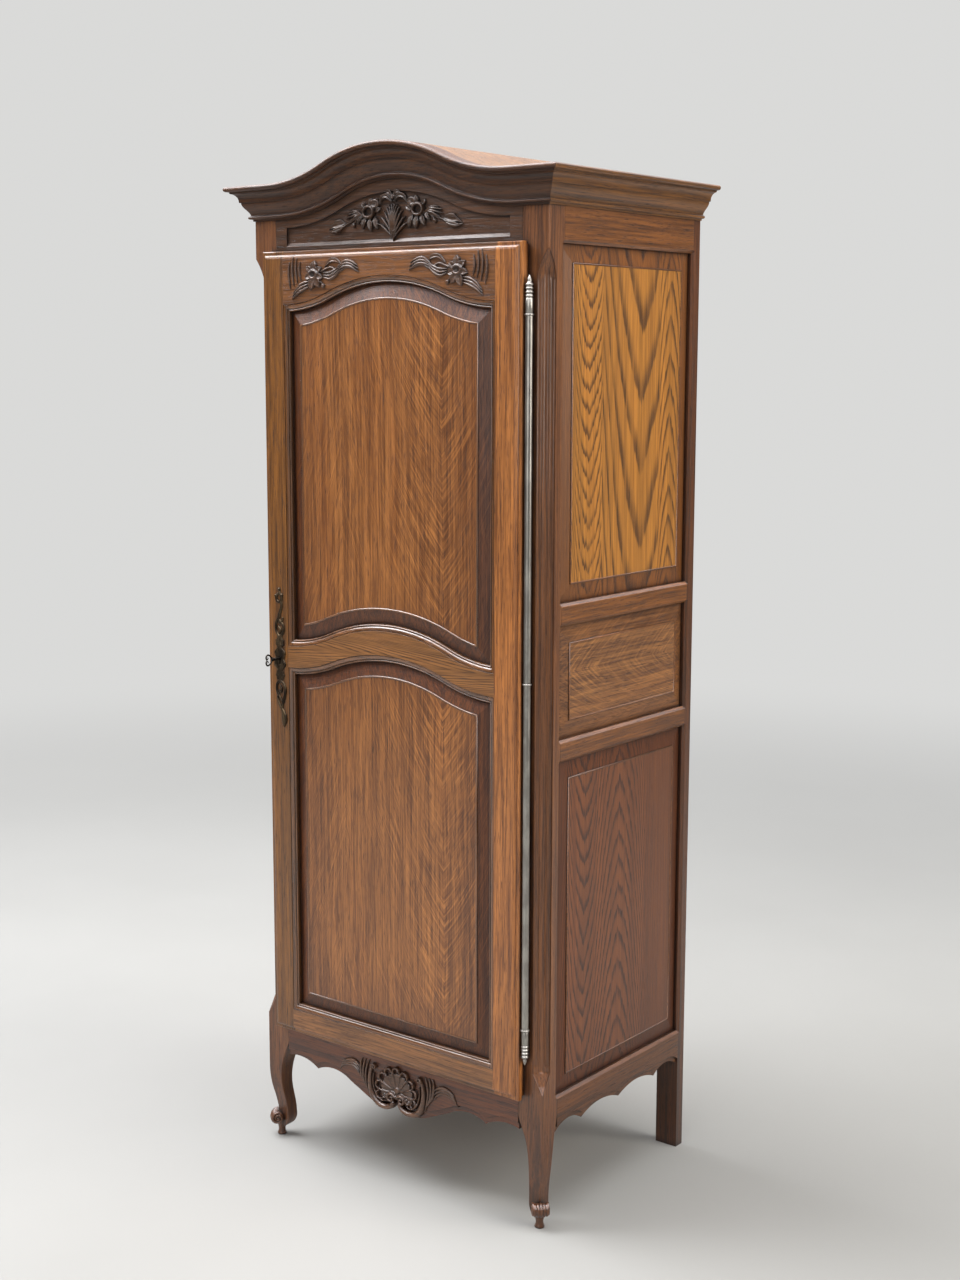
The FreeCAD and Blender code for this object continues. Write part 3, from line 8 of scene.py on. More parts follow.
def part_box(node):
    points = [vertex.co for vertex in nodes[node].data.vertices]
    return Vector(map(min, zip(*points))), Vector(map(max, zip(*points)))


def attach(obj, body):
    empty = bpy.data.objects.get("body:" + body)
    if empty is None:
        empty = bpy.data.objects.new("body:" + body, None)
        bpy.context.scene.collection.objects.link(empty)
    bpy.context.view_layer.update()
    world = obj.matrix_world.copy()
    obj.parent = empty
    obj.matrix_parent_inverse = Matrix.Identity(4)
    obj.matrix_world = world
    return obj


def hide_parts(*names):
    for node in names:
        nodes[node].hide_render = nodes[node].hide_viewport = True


# Looks of the bonnetiere: turned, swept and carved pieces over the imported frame, and its finishes.
# Lengths in this file are millimetres until mesh() turns them into metres.

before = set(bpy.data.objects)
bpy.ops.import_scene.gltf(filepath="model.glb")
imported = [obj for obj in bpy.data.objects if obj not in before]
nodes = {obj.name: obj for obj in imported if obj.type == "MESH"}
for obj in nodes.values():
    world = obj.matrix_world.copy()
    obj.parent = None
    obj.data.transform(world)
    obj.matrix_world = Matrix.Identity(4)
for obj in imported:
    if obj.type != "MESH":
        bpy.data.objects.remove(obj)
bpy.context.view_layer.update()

FRONT = -209.25  # face of the case's front frame
BACK = 275.75
HALF = 345.0  # half the case's width
TOP = 1900.0  # of the cornice where it is level
DOOR_FRONT = -234.75
DOOR_FIELD_FACE = -231.25  # face of the raised fields of the door's panels
SIDE_FIELD_FACE = 340.0  # and of the side panels


# ---------------------------------------------------------------- materials

class Value:
    """The output of a shader node, from which sums and products make further nodes."""

    def __init__(self, make, socket):
        self.make, self.socket = make, socket

    def __add__(self, other):
        return self.make.math("ADD", self, other)

    def __sub__(self, other):
        return self.make.math("SUBTRACT", self, other)

    def __rsub__(self, other):
        return self.make.math("SUBTRACT", other, self)

    def __mul__(self, other):
        return self.make.math("MULTIPLY", self, other)

    def __truediv__(self, other):
        return self.make.math("DIVIDE", self, other)

    def __gt__(self, other):
        return self.make.math("GREATER_THAN", self, other)

    def __abs__(self):
        return self.make.math("ABSOLUTE", self)


class Nodes:
    """Short calls for building a node tree that ends in one output node."""

    def __init__(self, tree, output):
        self.tree = tree
        tree.nodes.clear()
        self.output = tree.nodes.new(output)

    def end(self, value):
        self.put(self.output.inputs["Surface"], value)

    def put(self, socket, value):
        """Link a socket to another node's output, or give it a plain value."""
        if isinstance(value, Value):
            self.tree.links.new(value.socket, socket)
        else:
            socket.default_value = value

    def node(self, kind, values=(), output=0, **settings):
        """One output of a new node."""
        made = self.tree.nodes.new("ShaderNode" + kind)
        for key, value in settings.items():
            setattr(made, key, value)
        for key, value in dict(values).items():
            self.put(made.inputs[key], value)
        return Value(self, made.outputs[output])

    def math(self, operation, first, second=0.0, clamp=False):
        return self.node("Math", {0: first, 1: second}, operation=operation, use_clamp=clamp)

    def split(self, vector):
        made = self.node("SeparateXYZ", {0: vector}).socket.node
        return [Value(self, socket) for socket in made.outputs]

    def band(self, factor, low, high, *ends):
        """0 below low, 1 above high, smooth between, or the two ends that are given."""
        values = {"Value": factor, "From Min": low, "From Max": high}
        values.update(zip(("To Min", "To Max"), ends))
        return self.node("MapRange", values, interpolation_type="SMOOTHSTEP")


class Shader(Nodes):
    """One material, whose nodes feed a single surface."""

    def __init__(self, name):
        self.material = bpy.data.materials.new(name)
        self.material.use_nodes = True
        super().__init__(self.material.node_tree, "ShaderNodeOutputMaterial")
        self.surface = self.node("BsdfPrincipled")
        self.end(self.surface)

    def finish(self, values):
        for name, value in values.items():
            self.put(self.surface.socket.node.inputs[name], value)
        return self.material

    def place(self):
        """The point in metres, as no node of the frame is moved."""
        return self.node("TexCoord", output="Object")

    def join(self, x, y, z):
        return self.node("CombineXYZ", {0: x, 1: y, 2: z})

    def noise(self, vector, scale, offset=(0, 0, 0), detail=2.0, roughness=0.55):
        moved = self.node("Mapping", {"Vector": vector, "Location": offset, "Scale": scale})
        return self.node("TexNoise", {"Vector": moved, "Scale": 1.0, "Detail": detail,
                                      "Roughness": roughness})

    def ramp(self, factor, *stops):
        """A colour that runs through (position, colour) pairs."""
        made = self.node("ValToRGB", {0: factor})
        elements = made.socket.node.color_ramp.elements
        while len(elements) < len(stops):
            elements.new(0.5)
        for element, (position, colour) in zip(elements, stops):
            element.position, element.color = position, (*colour, 1.0)
        return made

    def mix(self, factor, first, second, blend="MIX"):
        """Two colours, each another node's or three plain numbers."""
        first, second = ((*value, 1.0) if isinstance(value, tuple) else value
                         for value in (first, second))
        return self.node("Mix", {0: factor, 6: first, 7: second}, 2, data_type="RGBA",
                         blend_type=blend)

    # Multiplies a colour by a tint, for the wood's own pores and tint and also for painted shade.
    def multiply_colour(self, factor, colour, tint):
        return self.mix(factor, colour, tint, "MULTIPLY")

    def crevice(self, distance, low, high):
        """Mask for painted shade: 1 in corners and 0 in the open."""
        hollow = self.node("AmbientOcclusion", {"Distance": distance}, "AO", samples=6)
        return 1.0 - self.band(hollow, low, high)

    def bump(self, height, distance, strength, soft):
        """A normal with fine relief over edges that are rounded by a soft radius."""
        edge = self.node("Bevel", {"Radius": soft}, samples=6)
        return self.node("Bump", {"Height": height, "Distance": distance, "Strength": strength,
                                  "Normal": edge})


def shade(value):
    """A linear colour from the three bytes of a screen colour."""
    parts = [int(value[i:i + 2], 16) / 255 for i in (0, 2, 4)]
    return tuple(p / 12.92 if p <= 0.04045 else ((p + 0.055) / 1.055) ** 2.4 for p in parts)


def arches(make, boards, across, climb, sway):
    """Height of the arches that each board's late wood draws, and their spacing (see oak)."""
    def own(column):
        value = boards[0][column]
        for before, row in zip(boards, boards[1:]):
            value = make.math("ADD", value, (across > row[0]) * (row[column] - before[column]))
        return value

    off = abs(across - own(1) + sway * 0.7)
    wave = off * own(3) + off * off * off * own(4)
    return wave + climb * own(5), own(2)


def flecks(make, feather, across, deep, length, sway, grain, line):
    """Quarter sawn flecks that slant up to both sides of the seams, as (bright, dull)."""
    seam, width = feather
    slant = make.math("PINGPONG", across + sway - seam, width)
    rise = length + (slant * 2.9 + slant * slant * (-0.87 / width))
    fleck = grain(make.join(across * 26.0, deep, rise * 150.0), (1, 1, 1), 2.0, 0.45)
    patch = make.band(grain(line, (9, 9, 5)), 0.35, 0.62)
    patch = patch * 0.55 + make.band(slant, width * 0.2, width) * 0.45
    return make.band(fleck, 0.52, 0.66) * patch, make.band(fleck, 0.46, 0.36) * patch


def oak(name, along, dark, light, seed, boards=(), feather=None, field=None, rough=0.42,
        coat=0.50, crevice=0.85, bevel_stain_and_shade=0.80, tinting=0.75, edge_stain_and_shade=None, upright=None):
    """Varnished oak with its grain along one axis, or upright beyond a distance from the middle.

    Boards lists (from, heart, spacing, lean, curl, way) for flat sawn boards that show pointed
    arches, feather is (seam, width) for quarter sawn flecks that meet at seams, and field is
    (axis, level, back) between which a panel's bevel is stained deeper and given painted shade
    from the frame. The edge darkening is (half width, low, high) of a field whose staining,
    with painted shade from the frame, deepens towards its edges.
    """
    make = Shader(name)
    shift = (seed * 1.37 % 7.0, seed * 2.11 % 5.0, seed * 3.7 % 9.0)

    def grain(vector, scale, detail=2.0, roughness=0.55):
        return make.noise(vector, scale, shift, detail, roughness)

    x, y, z = make.split(make.place())
    across, deep, length = {"x": (z, y, x), "y": (z, x, y), "z": (x, y, z)}[along]
    if upright:
        turned = (x - z) * (abs(x) > upright)
        across, length = z + turned, x - turned
    if along == "z":
        across = (abs(x) if boards and field else x) + y
    line = make.join(across, deep, length)
    sway = (grain(line, (5, 5, 1.6)) - 0.5) * 0.024
    bent = make.join(across + sway, deep + sway, length)
    broad = grain(bent, (14, 14, 1.1), 2.5)
    fine = grain(bent, (260, 260, 6), 4.0, 0.65)
    streak = grain(bent, (70, 70, 1.6), 3.0, 0.6)
    pore = make.band(grain(bent, (900, 900, 34), 2.0, 0.5), 0.56, 0.66)
    body = make.band(fine * 0.65 + streak * 0.35, 0.35, 0.65)
    if boards:
        jag = (grain(line, (170, 170, 3), 2.0, 0.6) - 0.5) * 0.030
        roll = (grain(line, (7, 7, 3.2)) - 0.5) * 0.10
        wave, spacing = arches(make, boards, across, length + jag, sway)
        phase = make.math("FRACT", (wave + roll) / spacing)
        late = make.band(phase, 0.45, 0.86) * (1.0 - make.band(phase, 0.90, 1.0))
        late = late * make.band(streak, 0.25, 0.62)
        body = make.math("SUBTRACT", body * 0.5 + 0.42, late * 0.74, clamp=True)
        pore = pore * (late * 0.8 + 0.2)
    if feather:
        bright, dull = flecks(make, feather, across, deep, length, sway, grain, line)
        body = make.math("ADD", body * 0.72, bright * 0.55 - dull * 0.28, clamp=True)
    colour = make.mix(body, shade(dark), shade(light))
    tint = make.ramp(broad, (0.28, (0.76, 0.73, 0.72)), (0.5, (1.0, 1.0, 1.0)),
                     (0.74, (1.14, 1.08, 1.0)))
    colour = make.multiply_colour(tinting, colour, tint)
    colour = make.multiply_colour(pore * 0.8, colour, (0.26, 0.22, 0.20))
    shine = coat
    if field:
        axis, level, back = field
        face = abs({"x": x, "y": y}[axis])
        # The bevel is stained deeper and given painted shade, as cast by the frame's moulding.
        edge = make.band(face, level, level - 0.0004) * (face > back)
        colour = make.multiply_colour(edge * bevel_stain_and_shade, colour, (0.34, 0.225, 0.14))
        shine = (1.0 - edge * 0.8) * coat
    # Staining and painted shade from the frame deepen towards the field's edges.
    if edge_stain_and_shade:
        half, low, high = edge_stain_and_shade
        reach = 0.5 * (high - low)
        sides = make.band(abs(x), half * 0.52, half * 1.06)
        ends = make.band(abs(z - 0.5 * (high + low)), reach * 0.62, reach * 1.04)
        edge_stain_and_shade_mask = make.math("MULTIPLY", make.math("MAXIMUM", sides, ends), broad * 0.8 + 0.35,
                         clamp=True)
        colour = make.multiply_colour(edge_stain_and_shade_mask * 0.72, colour, (0.50, 0.42, 0.36))
    # Colour darkens towards the bottom, below about 0.42 m.
    lower_darkening = make.band(z + sway * 2.0, 0.42, 0.06)
    colour = make.multiply_colour(lower_darkening * 0.62, colour, (0.42, 0.37, 0.34))
    # Painted shade that darkens corners, quirks and hollows, from ambient occlusion.
    shadow = make.crevice(0.016, 0.35, 0.98)
    colour = make.multiply_colour(shadow * crevice, colour, (0.09, 0.065, 0.055))
    return make.finish({
        "Base Color": colour,
        "Roughness": fine * 0.22 + (rough - 0.10) + pore * 0.2,
        "Normal": make.bump(fine * 0.5 - pore * 0.9, 0.0004, 0.6, 0.0013),
        "Coat Weight": shine,
        "Coat Roughness": 0.12,
    })


def metal(name, dark, light, rough, seed, brush=(40, 40, 900), metallic=0.9, tarnish_and_shade=0.6):
    """Old metal: a brushed or cast skin, with tarnish and painted shade in its hollows and next to
    other parts.
    """
    make = Shader(name)
    shift = (seed * 1.7 % 5.0, seed * 0.9 % 3.0, seed * 2.3 % 7.0)
    skin = make.noise(make.place(), brush, shift, 4.0, 0.6)
    spots = make.noise(make.place(), (60, 60, 26), shift, 4.0, 0.6)
    colour = make.mix(make.band(spots, 0.38, 0.66), shade(dark), shade(light))
    colour = make.multiply_colour(make.band(skin, 0.35, 0.7), colour, (0.86, 0.86, 0.86))
    # Tarnish and painted shade in hollows and next to other parts, from ambient occlusion.
    shadow = make.crevice(0.004, 0.3, 0.95)
    return make.finish({
        "Base Color": make.multiply_colour(shadow * tarnish_and_shade, colour, (0.06, 0.05, 0.045)),
        "Metallic": metallic,
        "Roughness": spots * 0.14 + (rough - 0.07) + shadow * 0.3,
        "Normal": make.bump(skin, 0.0002, 0.35, 0.0008),
    })


# ---------------------------------------------------------------- meshes

def add(name, data, place=(0, 0, 0), turn=None):
    """A new object in the scene, its turn a quaternion."""
    made = bpy.data.objects.new(name, data)
    bpy.context.scene.collection.objects.link(made)
    made.location = place
    if turn:
        made.rotation_mode = "QUATERNION"
        made.rotation_quaternion = turn
    return made


def mesh(name, points, faces):
    """A smooth shaded mesh object from points in millimetres."""
    data = bpy.data.meshes.new(name)
    data.from_pydata([tuple(p * 0.001 for p in point) for point in points], [], faces)
    data.validate()
    data.update()
    data.polygons.foreach_set("use_smooth", [True] * len(data.polygons))
    return add(name, data)


def dress(piece, body, slot, material, *replaced):
    """Give a new piece its finish, its body and the nodes that it stands for."""
    piece.data.materials.clear()
    piece.data.materials.append(material)
    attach(piece, body)
    if replaced:
        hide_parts(*replaced)
    return piece


def join(name, parts, sharp=None):
    """Several (points, faces) lists as one mesh, with hard edges over an angle in degrees."""
    points, faces = [], []
    for part_points, part_faces in parts:
        start = len(points)
        points += [tuple(p) for p in part_points]
        faces += [tuple(start + i for i in face) for face in part_faces]
    made = mesh(name, points, faces)
    if sharp:
        made.data.set_sharp_from_angle(angle=math.radians(sharp))
    return made


def polar(radius, angle, centre=(0, 0)):
    """Place at a distance from a centre, its angle in radians."""
    return centre[0] + radius * math.cos(angle), centre[1] + radius * math.sin(angle)


def angles(count):
    """Equal steps round a circle."""
    return [2 * math.pi * i / count for i in range(count)]


def rings(sections, capped=True):
    """Faces between equal closed rings of points, with flat ends."""
    count = len(sections[0])
    points = [point for section in sections for point in section]
    faces = []
    for level in range(len(sections) - 1):
        for i in range(count):
            a, b = level * count + i, level * count + (i + 1) % count
            faces.append((a, b, b + count, a + count))
    if capped:
        faces.append(tuple(range(count))[::-1])
        faces.append(tuple(range(len(points) - count, len(points))))
    return points, faces


def lathe(profile, x, y, sides=40):
    """A turned shape about an upright axis from (radius, height) pairs."""
    return rings([[(*polar(r, t, (x, y)), z) for t in angles(sides)] for r, z in profile])


def smooth_line(points, count):
    """A Catmull-Rom line through points, as an array of evenly spaced places."""
    points = np.array(points, float)
    padded = np.vstack([2 * points[0] - points[1], points, 2 * points[-1] - points[-2]])
    runs = []
    for i in range(1, len(padded) - 2):
        p0, p1, p2, p3 = padded[i - 1:i + 3]
        t = np.linspace(0, 1, 24, endpoint=False)[:, None]
        runs.append(0.5 * (2 * p1 + (p2 - p0) * t + (2 * p0 - 5 * p1 + 4 * p2 - p3) * t ** 2
                           + (3 * p1 - p0 - 3 * p2 + p3) * t ** 3))
    line = np.vstack(runs + [points[-1:]])
    steps = np.r_[0, np.cumsum(np.linalg.norm(np.diff(line, axis=0), axis=1))]
    where = np.linspace(0, steps[-1], count)
    return np.stack([np.interp(where, steps, line[:, k]) for k in range(line.shape[1])], axis=1)


def tube(points, radii, sides=12, count=None):
    """A round bar along a smooth line, with a radius at each given place."""
    line = smooth_line(points, count or 10 * len(points))
    share = np.linspace(0, 1, len(line))
    radius = np.interp(share, np.linspace(0, 1, len(radii)), radii)
    way = np.gradient(line, axis=0)
    way /= np.linalg.norm(way, axis=1)[:, None]
    side = np.cross(way[0], (0.3, 0.5, 0.81))
    sections = []
    for centre, ahead, r in zip(line, way, radius):
        side = side - ahead * side.dot(ahead)
        side /= np.linalg.norm(side)
        other = np.cross(ahead, side)
        sections.append([tuple(centre + r * (side * math.cos(t) + other * math.sin(t)))
                         for t in angles(sides)])
    return rings(sections)


def spiral(centre, start_radius, end_radius, start, turns, count=14):
    """Places along a flat spiral: angles in degrees, positive turns anticlockwise."""
    shares = [i / (count - 1) for i in range(count)]
    return [polar(start_radius + (end_radius - start_radius) * share,
                  math.radians(start + 360 * turns * share), centre) for share in shares]


# ---------------------------------------------------------------- carving

CARVING_STEP = 0.7


class Relief:
    """Carving as heights over a grid in the plane of a board's face, x across and z up.

    Shapes are given from an origin, and with sign -1 they come out mirrored.
    """

    def __init__(self, x, z, step, origin=(0, 0)):
        self.origin, self.sign = origin, 1
        self.xs = np.arange(x[0], x[1] + step, step)
        self.zs = np.arange(z[0], z[1] + step, step)
        self.x, self.z = np.meshgrid(self.xs, self.zs)
        self.height = np.zeros_like(self.x)

    def window(self, low, high):
        """Slices of the grid that hold a box."""
        i0, i1 = np.searchsorted(self.xs, (low[0], high[0]))
        j0, j1 = np.searchsorted(self.zs, (low[1], high[1]))
        return slice(j0, j1 + 1), slice(i0, i1 + 1)

    def at(self, points):
        return [(self.origin[0] + self.sign * x, self.origin[1] + z) for x, z in points]

    def raise_to(self, part, value):
        self.height[part] = np.maximum(self.height[part], value)

    def stroke(self, points, width, height, shape="round", base=0.5, count=36):
        """A blade, band or leaf along a smooth line; widths and heights run along it."""
        line = smooth_line(self.at(points), count)
        share = np.linspace(0, 1, count)
        widths = np.interp(share, np.linspace(0, 1, len(width)), width)
        heights = np.interp(share, np.linspace(0, 1, len(height)), height)
        reach = max(widths) + 1
        part = self.window(line.min(0) - reach, line.max(0) + reach)
        x, z = self.x[part], self.z[part]
        best = np.full(x.shape, 1e9)
        place = np.zeros(x.shape)
        for i in range(count - 1):
            a, b = line[i], line[i + 1]
            d = b - a
            t = np.clip(((x - a[0]) * d[0] + (z - a[1]) * d[1]) / (d @ d + 1e-9), 0, 1)
            away = np.hypot(x - a[0] - t * d[0], z - a[1] - t * d[1])
            nearer = away < best
            best = np.where(nearer, away, best)
            place = np.where(nearer, (i + t) / (count - 1), place)
        w = np.interp(place, share, widths)
        h = np.interp(place, share, heights)
        u = np.where(w > 0.05, best / np.maximum(w, 0.05), 9)
        inside = u < 1
        u = np.minimum(u, 1)
        arch = np.sqrt(1 - u * u)
        if shape == "round":
            form = arch
        elif shape == "leaf":
            vein = 0.5 + 0.5 * np.cos(place * 60 + u * 5)
            form = (0.45 + 0.55 * arch) * (1 - 0.32 * np.exp(-(u / 0.16) ** 2)) * (1 - 0.10 * vein * u)
            form *= np.minimum(1, (1 - u) / 0.18 + 0.35)
        elif shape == "hollow":
            form = (0.55 + 0.45 * u ** 2) * np.minimum(1, (1 - u) / 0.22 + 0.25)
        else:  # petal
            form = (0.60 + 0.40 * u ** 2) * np.minimum(1, (1 - u) / 0.20 + 0.30)
            form *= 1 - 0.20 * np.exp(-(u / 0.12) ** 2)
        self.raise_to(part, np.where(inside, base + h * form, 0))

    def dome(self, centre, radius, height, base=0.5, dimple=0):
        """A round button, with a dimple in its middle if asked."""
        centre, = self.at([centre])
        part = self.window((centre[0] - radius, centre[1] - radius),
                           (centre[0] + radius, centre[1] + radius))
        u = np.hypot(self.x[part] - centre[0], self.z[part] - centre[1]) / radius
        form = np.sqrt(np.clip(1 - u * u, 0, 1)) - dimple * np.exp(-(u / 0.42) ** 2)
        self.raise_to(part, np.where(u < 1, base + height * np.maximum(form, 0.05), 0))

    def flower(self, centre, radius, petals, turn, height, base):
        """Cupped petals round a button."""
        for i in range(petals):
            angle = math.radians(turn + 360 * i / petals)
            dx, dz = polar(radius, angle)
            wide = radius * math.sin(math.pi / petals) * 0.98
            self.stroke(
                [(centre[0] + dx * k, centre[1] + dz * k) for k in (0.12, 0.55, 1)],
                [wide * 0.45, wide * 0.95, wide, wide * 0.8, 0.3],
                [height * 0.45, height * 0.75, height, height * 0.9], "petal", base,
            )
        self.dome(centre, radius * 0.30, height * 0.75, base + height * 0.35, 0.5)

    def fan(self, focus, radius, start, end, ribs, height, base, scallop, hollow):
        """A shell: ribs that spread from a focus to a scalloped rim."""
        part = self.window((focus[0] - radius * 1.2, focus[1] - radius * 1.2),
                           (focus[0] + radius * 1.2, focus[1] + radius * 1.2))
        x, z = self.x[part] - focus[0], self.z[part] - focus[1]
        r = np.hypot(x, z)
        angle = np.degrees(np.arctan2(z, x))
        angle = np.where(angle < start - 40, angle + 360, angle)
        share = (angle - start) / (end - start)
        wave = np.abs(np.cos(np.clip(share, 0, 1) * ribs * math.pi + math.pi / 2))
        rim = radius * (1 - scallop + scallop * wave)
        u = r / rim
        inside = (u < 1) & (share > 0) & (share < 1)
        dish = 1 - hollow * np.clip(1 - u, 0, 1) ** 0.7
        lip = np.minimum(1, (1 - u) / 0.07 + 0.25)
        form = dish * lip * (0.62 + 0.38 * wave ** 0.8)
        self.raise_to(part, np.where(inside, base + height * form, 0))

    def build(self, name, plane, sink=0.5, scale=1):
        """The carving as a mesh that stands out from the plane y = plane."""
        h = self.height * scale
        solid = h > 0.05
        cell = solid[:-1, :-1] | solid[1:, :-1] | solid[:-1, 1:] | solid[1:, 1:]
        used = np.zeros(solid.shape, bool)
        for dj in (0, 1):
            for di in (0, 1):
                used[dj:dj + cell.shape[0], di:di + cell.shape[1]] |= cell
        index = np.full(solid.shape, -1)
        index[used] = np.arange(used.sum())
        y = np.where(solid, plane - h, plane + sink)
        points = np.stack([self.x[used], y[used], self.z[used]], axis=1)
        js, is_ = np.nonzero(cell)
        faces = np.stack([index[js, is_], index[js, is_ + 1], index[js + 1, is_ + 1],
                          index[js + 1, is_]], axis=1)
        return mesh(name, points.tolist(), faces.tolist())


def cup(relief, centre, radius, height, base):
    """The open mouth of a flower: a turned rim round a deep hollow."""
    around = [(centre[0] + relief.sign * radius * math.cos(a) * 1.12,
               centre[1] + radius * math.sin(a) * 0.86)
              for a in np.linspace(0.3, 2 * math.pi + 0.3, 14)]
    relief.stroke(around, [3, 3.6, 2.8, 3.4, 3], [height, height * 0.8, height], base=base)
    relief.dome(centre, radius * 0.7, 1.2, 0.4)


def carve_frieze():
    """Palmette between flowers, with leaves and buds that run out to both sides."""
    r = Relief((-168, 168), (1784, 1881), CARVING_STEP)
    root = 1789
    for r.sign in (-1, 1):
        r.stroke([(70, 1834), (86, 1833), (103, 1826), (122, 1819)],
                 [2.4, 2, 1.6, 1.6], [3.5, 3, 2.5], base=0.4)
        for k, (up, out) in enumerate(((1848, 104), (1843, 111), (1836, 113), (1830, 107))):
            r.stroke([(72, 1836), (88, 0.5 * (up + 1838) + 1.5), (out, up - 3.5)],
                     [0.8, 2.7, 0.5], [4, 5.4, 3.5])
        r.stroke([(116, 1824), (130, 1824), (146, 1820), (157, 1814)],
                 [0.6, 7.5, 8.5, 3, 0.3], [3.5, 5, 4.5, 2], "hollow")
        r.stroke([(118, 1819), (133, 1814), (148, 1811), (158, 1813)],
                 [0.6, 5, 6, 3, 0.3], [4.5, 6, 4.5, 2], "leaf")
        r.dome((96, 1820), 4.2, 5.5, 0.5, 0.25)
        r.stroke([(84, 1832), (91, 1827), (95, 1822)], [1, 1.4, 1.4], [3, 3], base=0.4)
        # hanging petals, then the open flower over them
        for near, mid, tip, wide in (
                ((66, 1832), (69.85, 1821.55), (73, 1813), 5.4),
                ((55, 1830), (53.9, 1817.9), (53, 1808), 6.4),
                ((44, 1832), (40.15, 1820.45), (37, 1811), 5.6),
                ((75, 1836), (79.95, 1828.3), (84, 1822), 3.6)):
            r.stroke([near, mid, tip], [1.4, wide, wide * 0.85, 0.5], [4, 7, 7.6, 5], "petal", 0.8)
        for near, mid, tip, wide in (
                ((50, 1850), (43, 1856), (36, 1862), 6), ((56, 1852), (54, 1859), (52, 1866), 5.2),
                ((68, 1850), (71, 1854), (74, 1858), 4.6), ((42, 1842), (36, 1845), (30, 1848), 4.8)):
            r.stroke([near, mid, tip], [1.4, wide, wide * 0.9, 0.5], [3.5, 5.6, 6.2, 4], "petal", 0.8)
        cup(r, (58, 1842), 11, 8.6, 1)
        cup(r, (43, 1856), 7, 6, 0.8)
        # crest over the palmette
        r.stroke([(4, 1859), (14, 1868), (26, 1866), (31, 1856)], [1.4, 4.6, 4.4, 1.2],
                 [6, 8.2, 7, 5], "hollow", 1.2)
        r.stroke([(2, 1866), (9, 1875), (18, 1872)], [1.6, 4.4, 1.2], [6.5, 8.2, 6], "hollow", 1.2)
        # feathers of the palmette, each curled out at its tip
        for k, (lean, top) in enumerate(((2.5, 1853), (8, 1852), (13.5, 1848), (20, 1841),
                                         (27, 1831), (33, 1820))):
            r.stroke([(0.4 + 0.2 * k, root + 0.8 * k), (lean * 0.34, 0.52 * root + 0.48 * top),
                      (lean * 0.78, 0.14 * root + 0.86 * top), (lean + 1.5, top)],
                     [0.7, 1.7, 2.6, 2.5, 0.5], [3.6, 5 - 0.2 * k, 6.4 - 0.3 * k, 6.6 - 0.3 * k, 4],
                     base=0.9)
    r.dome((0, 1866), 5, 8, 1, 0.35)
    return r.build("carving_frieze", FRONT + 4)


def carve_spandrel(sign, name):
    """Flower with a trail of leaves in one upper corner of the door."""
    x = (-246, -50) if sign < 0 else (50, 246)
    r = Relief(x, (1681, 1773), CARVING_STEP)
    r.sign = sign
    r.stroke([(150, 1738), (128, 1745), (108, 1737), (88, 1744), (64, 1737)],
             [2.2, 2, 1.6, 1], [3.5, 3, 2.5], base=0.3)
    for k, (dx, dz) in enumerate(((0, 0), (1, 6), (3, 12))):
        r.stroke([(146, 1728 + dz * 0.6), (130 - dx, 1724 + dz), (114 - dx, 1731 + dz),
                  (102 + dx, 1743 + dz * 0.7)],
                 [0.7, 2.4, 3, 2, 0.4], [3.4, 4.8, 3.4])
        r.stroke([(108, 1741 + dz * 0.4), (92, 1746 + dz * 0.8), (76, 1744 + dz * 0.8),
                  (60 + dx, 1735 + dz)],
                 [0.7, 2.2, 2.8, 2, 0.4], [3.2, 4.6, 3.4])
        r.stroke([(180, 1712 + dz * 0.7), (196, 1706 + dz), (211, 1699 + dz * 0.9),
                  (225 - dx, 1689 + dz * 0.8)],
                 [0.7, 2.6, 3, 2.2, 0.4], [3.4, 5, 3.4])
    r.stroke([(142, 1746), (128, 1757), (114, 1757), (102, 1750)],
             [0.8, 3.6, 4, 0.4], [3.6, 5, 3], "hollow")
    for gx, low, high in ((203, 1722, 1757), (212, 1718, 1764), (221, 1713, 1766), (230, 1708, 1756)):
        r.stroke([(gx, low), (gx + 4, (low + high) / 2), (gx + 2, high)],
                 [0.6, 2.9, 2.4, 0.4], [2.2, 3.8, 2.4], base=0.3)
    centre = (170, 1733)
    for angle, reach, wide in ((94, 25, 7.2), (42, 22, 6.4), (146, 22, 6.4), (196, 23, 6.6),
                               (-16, 22, 6.4), (238, 27, 7.6), (286, 29, 8.2)):
        dx, dz = math.cos(math.radians(angle)), math.sin(math.radians(angle))
        r.stroke([(centre[0] + dx * reach * k, centre[1] + dz * reach * k)
                  for k in (0.2, 0.6, 1)],
                 [1.8, wide, wide * 0.95, 0.6], [3.4, 6, 6.6, 4.4], "petal", 0.8)
    cup(r, centre, 8, 7.6, 1.2)
    r.dome((147, 1712), 4.2, 4.8, 0.5, 0.25)
    r.stroke([(156, 1722), (150, 1717)], [1.3, 1.3], [3, 3], base=0.4)
    return r.build(name, DOOR_FRONT, scale=0.86)


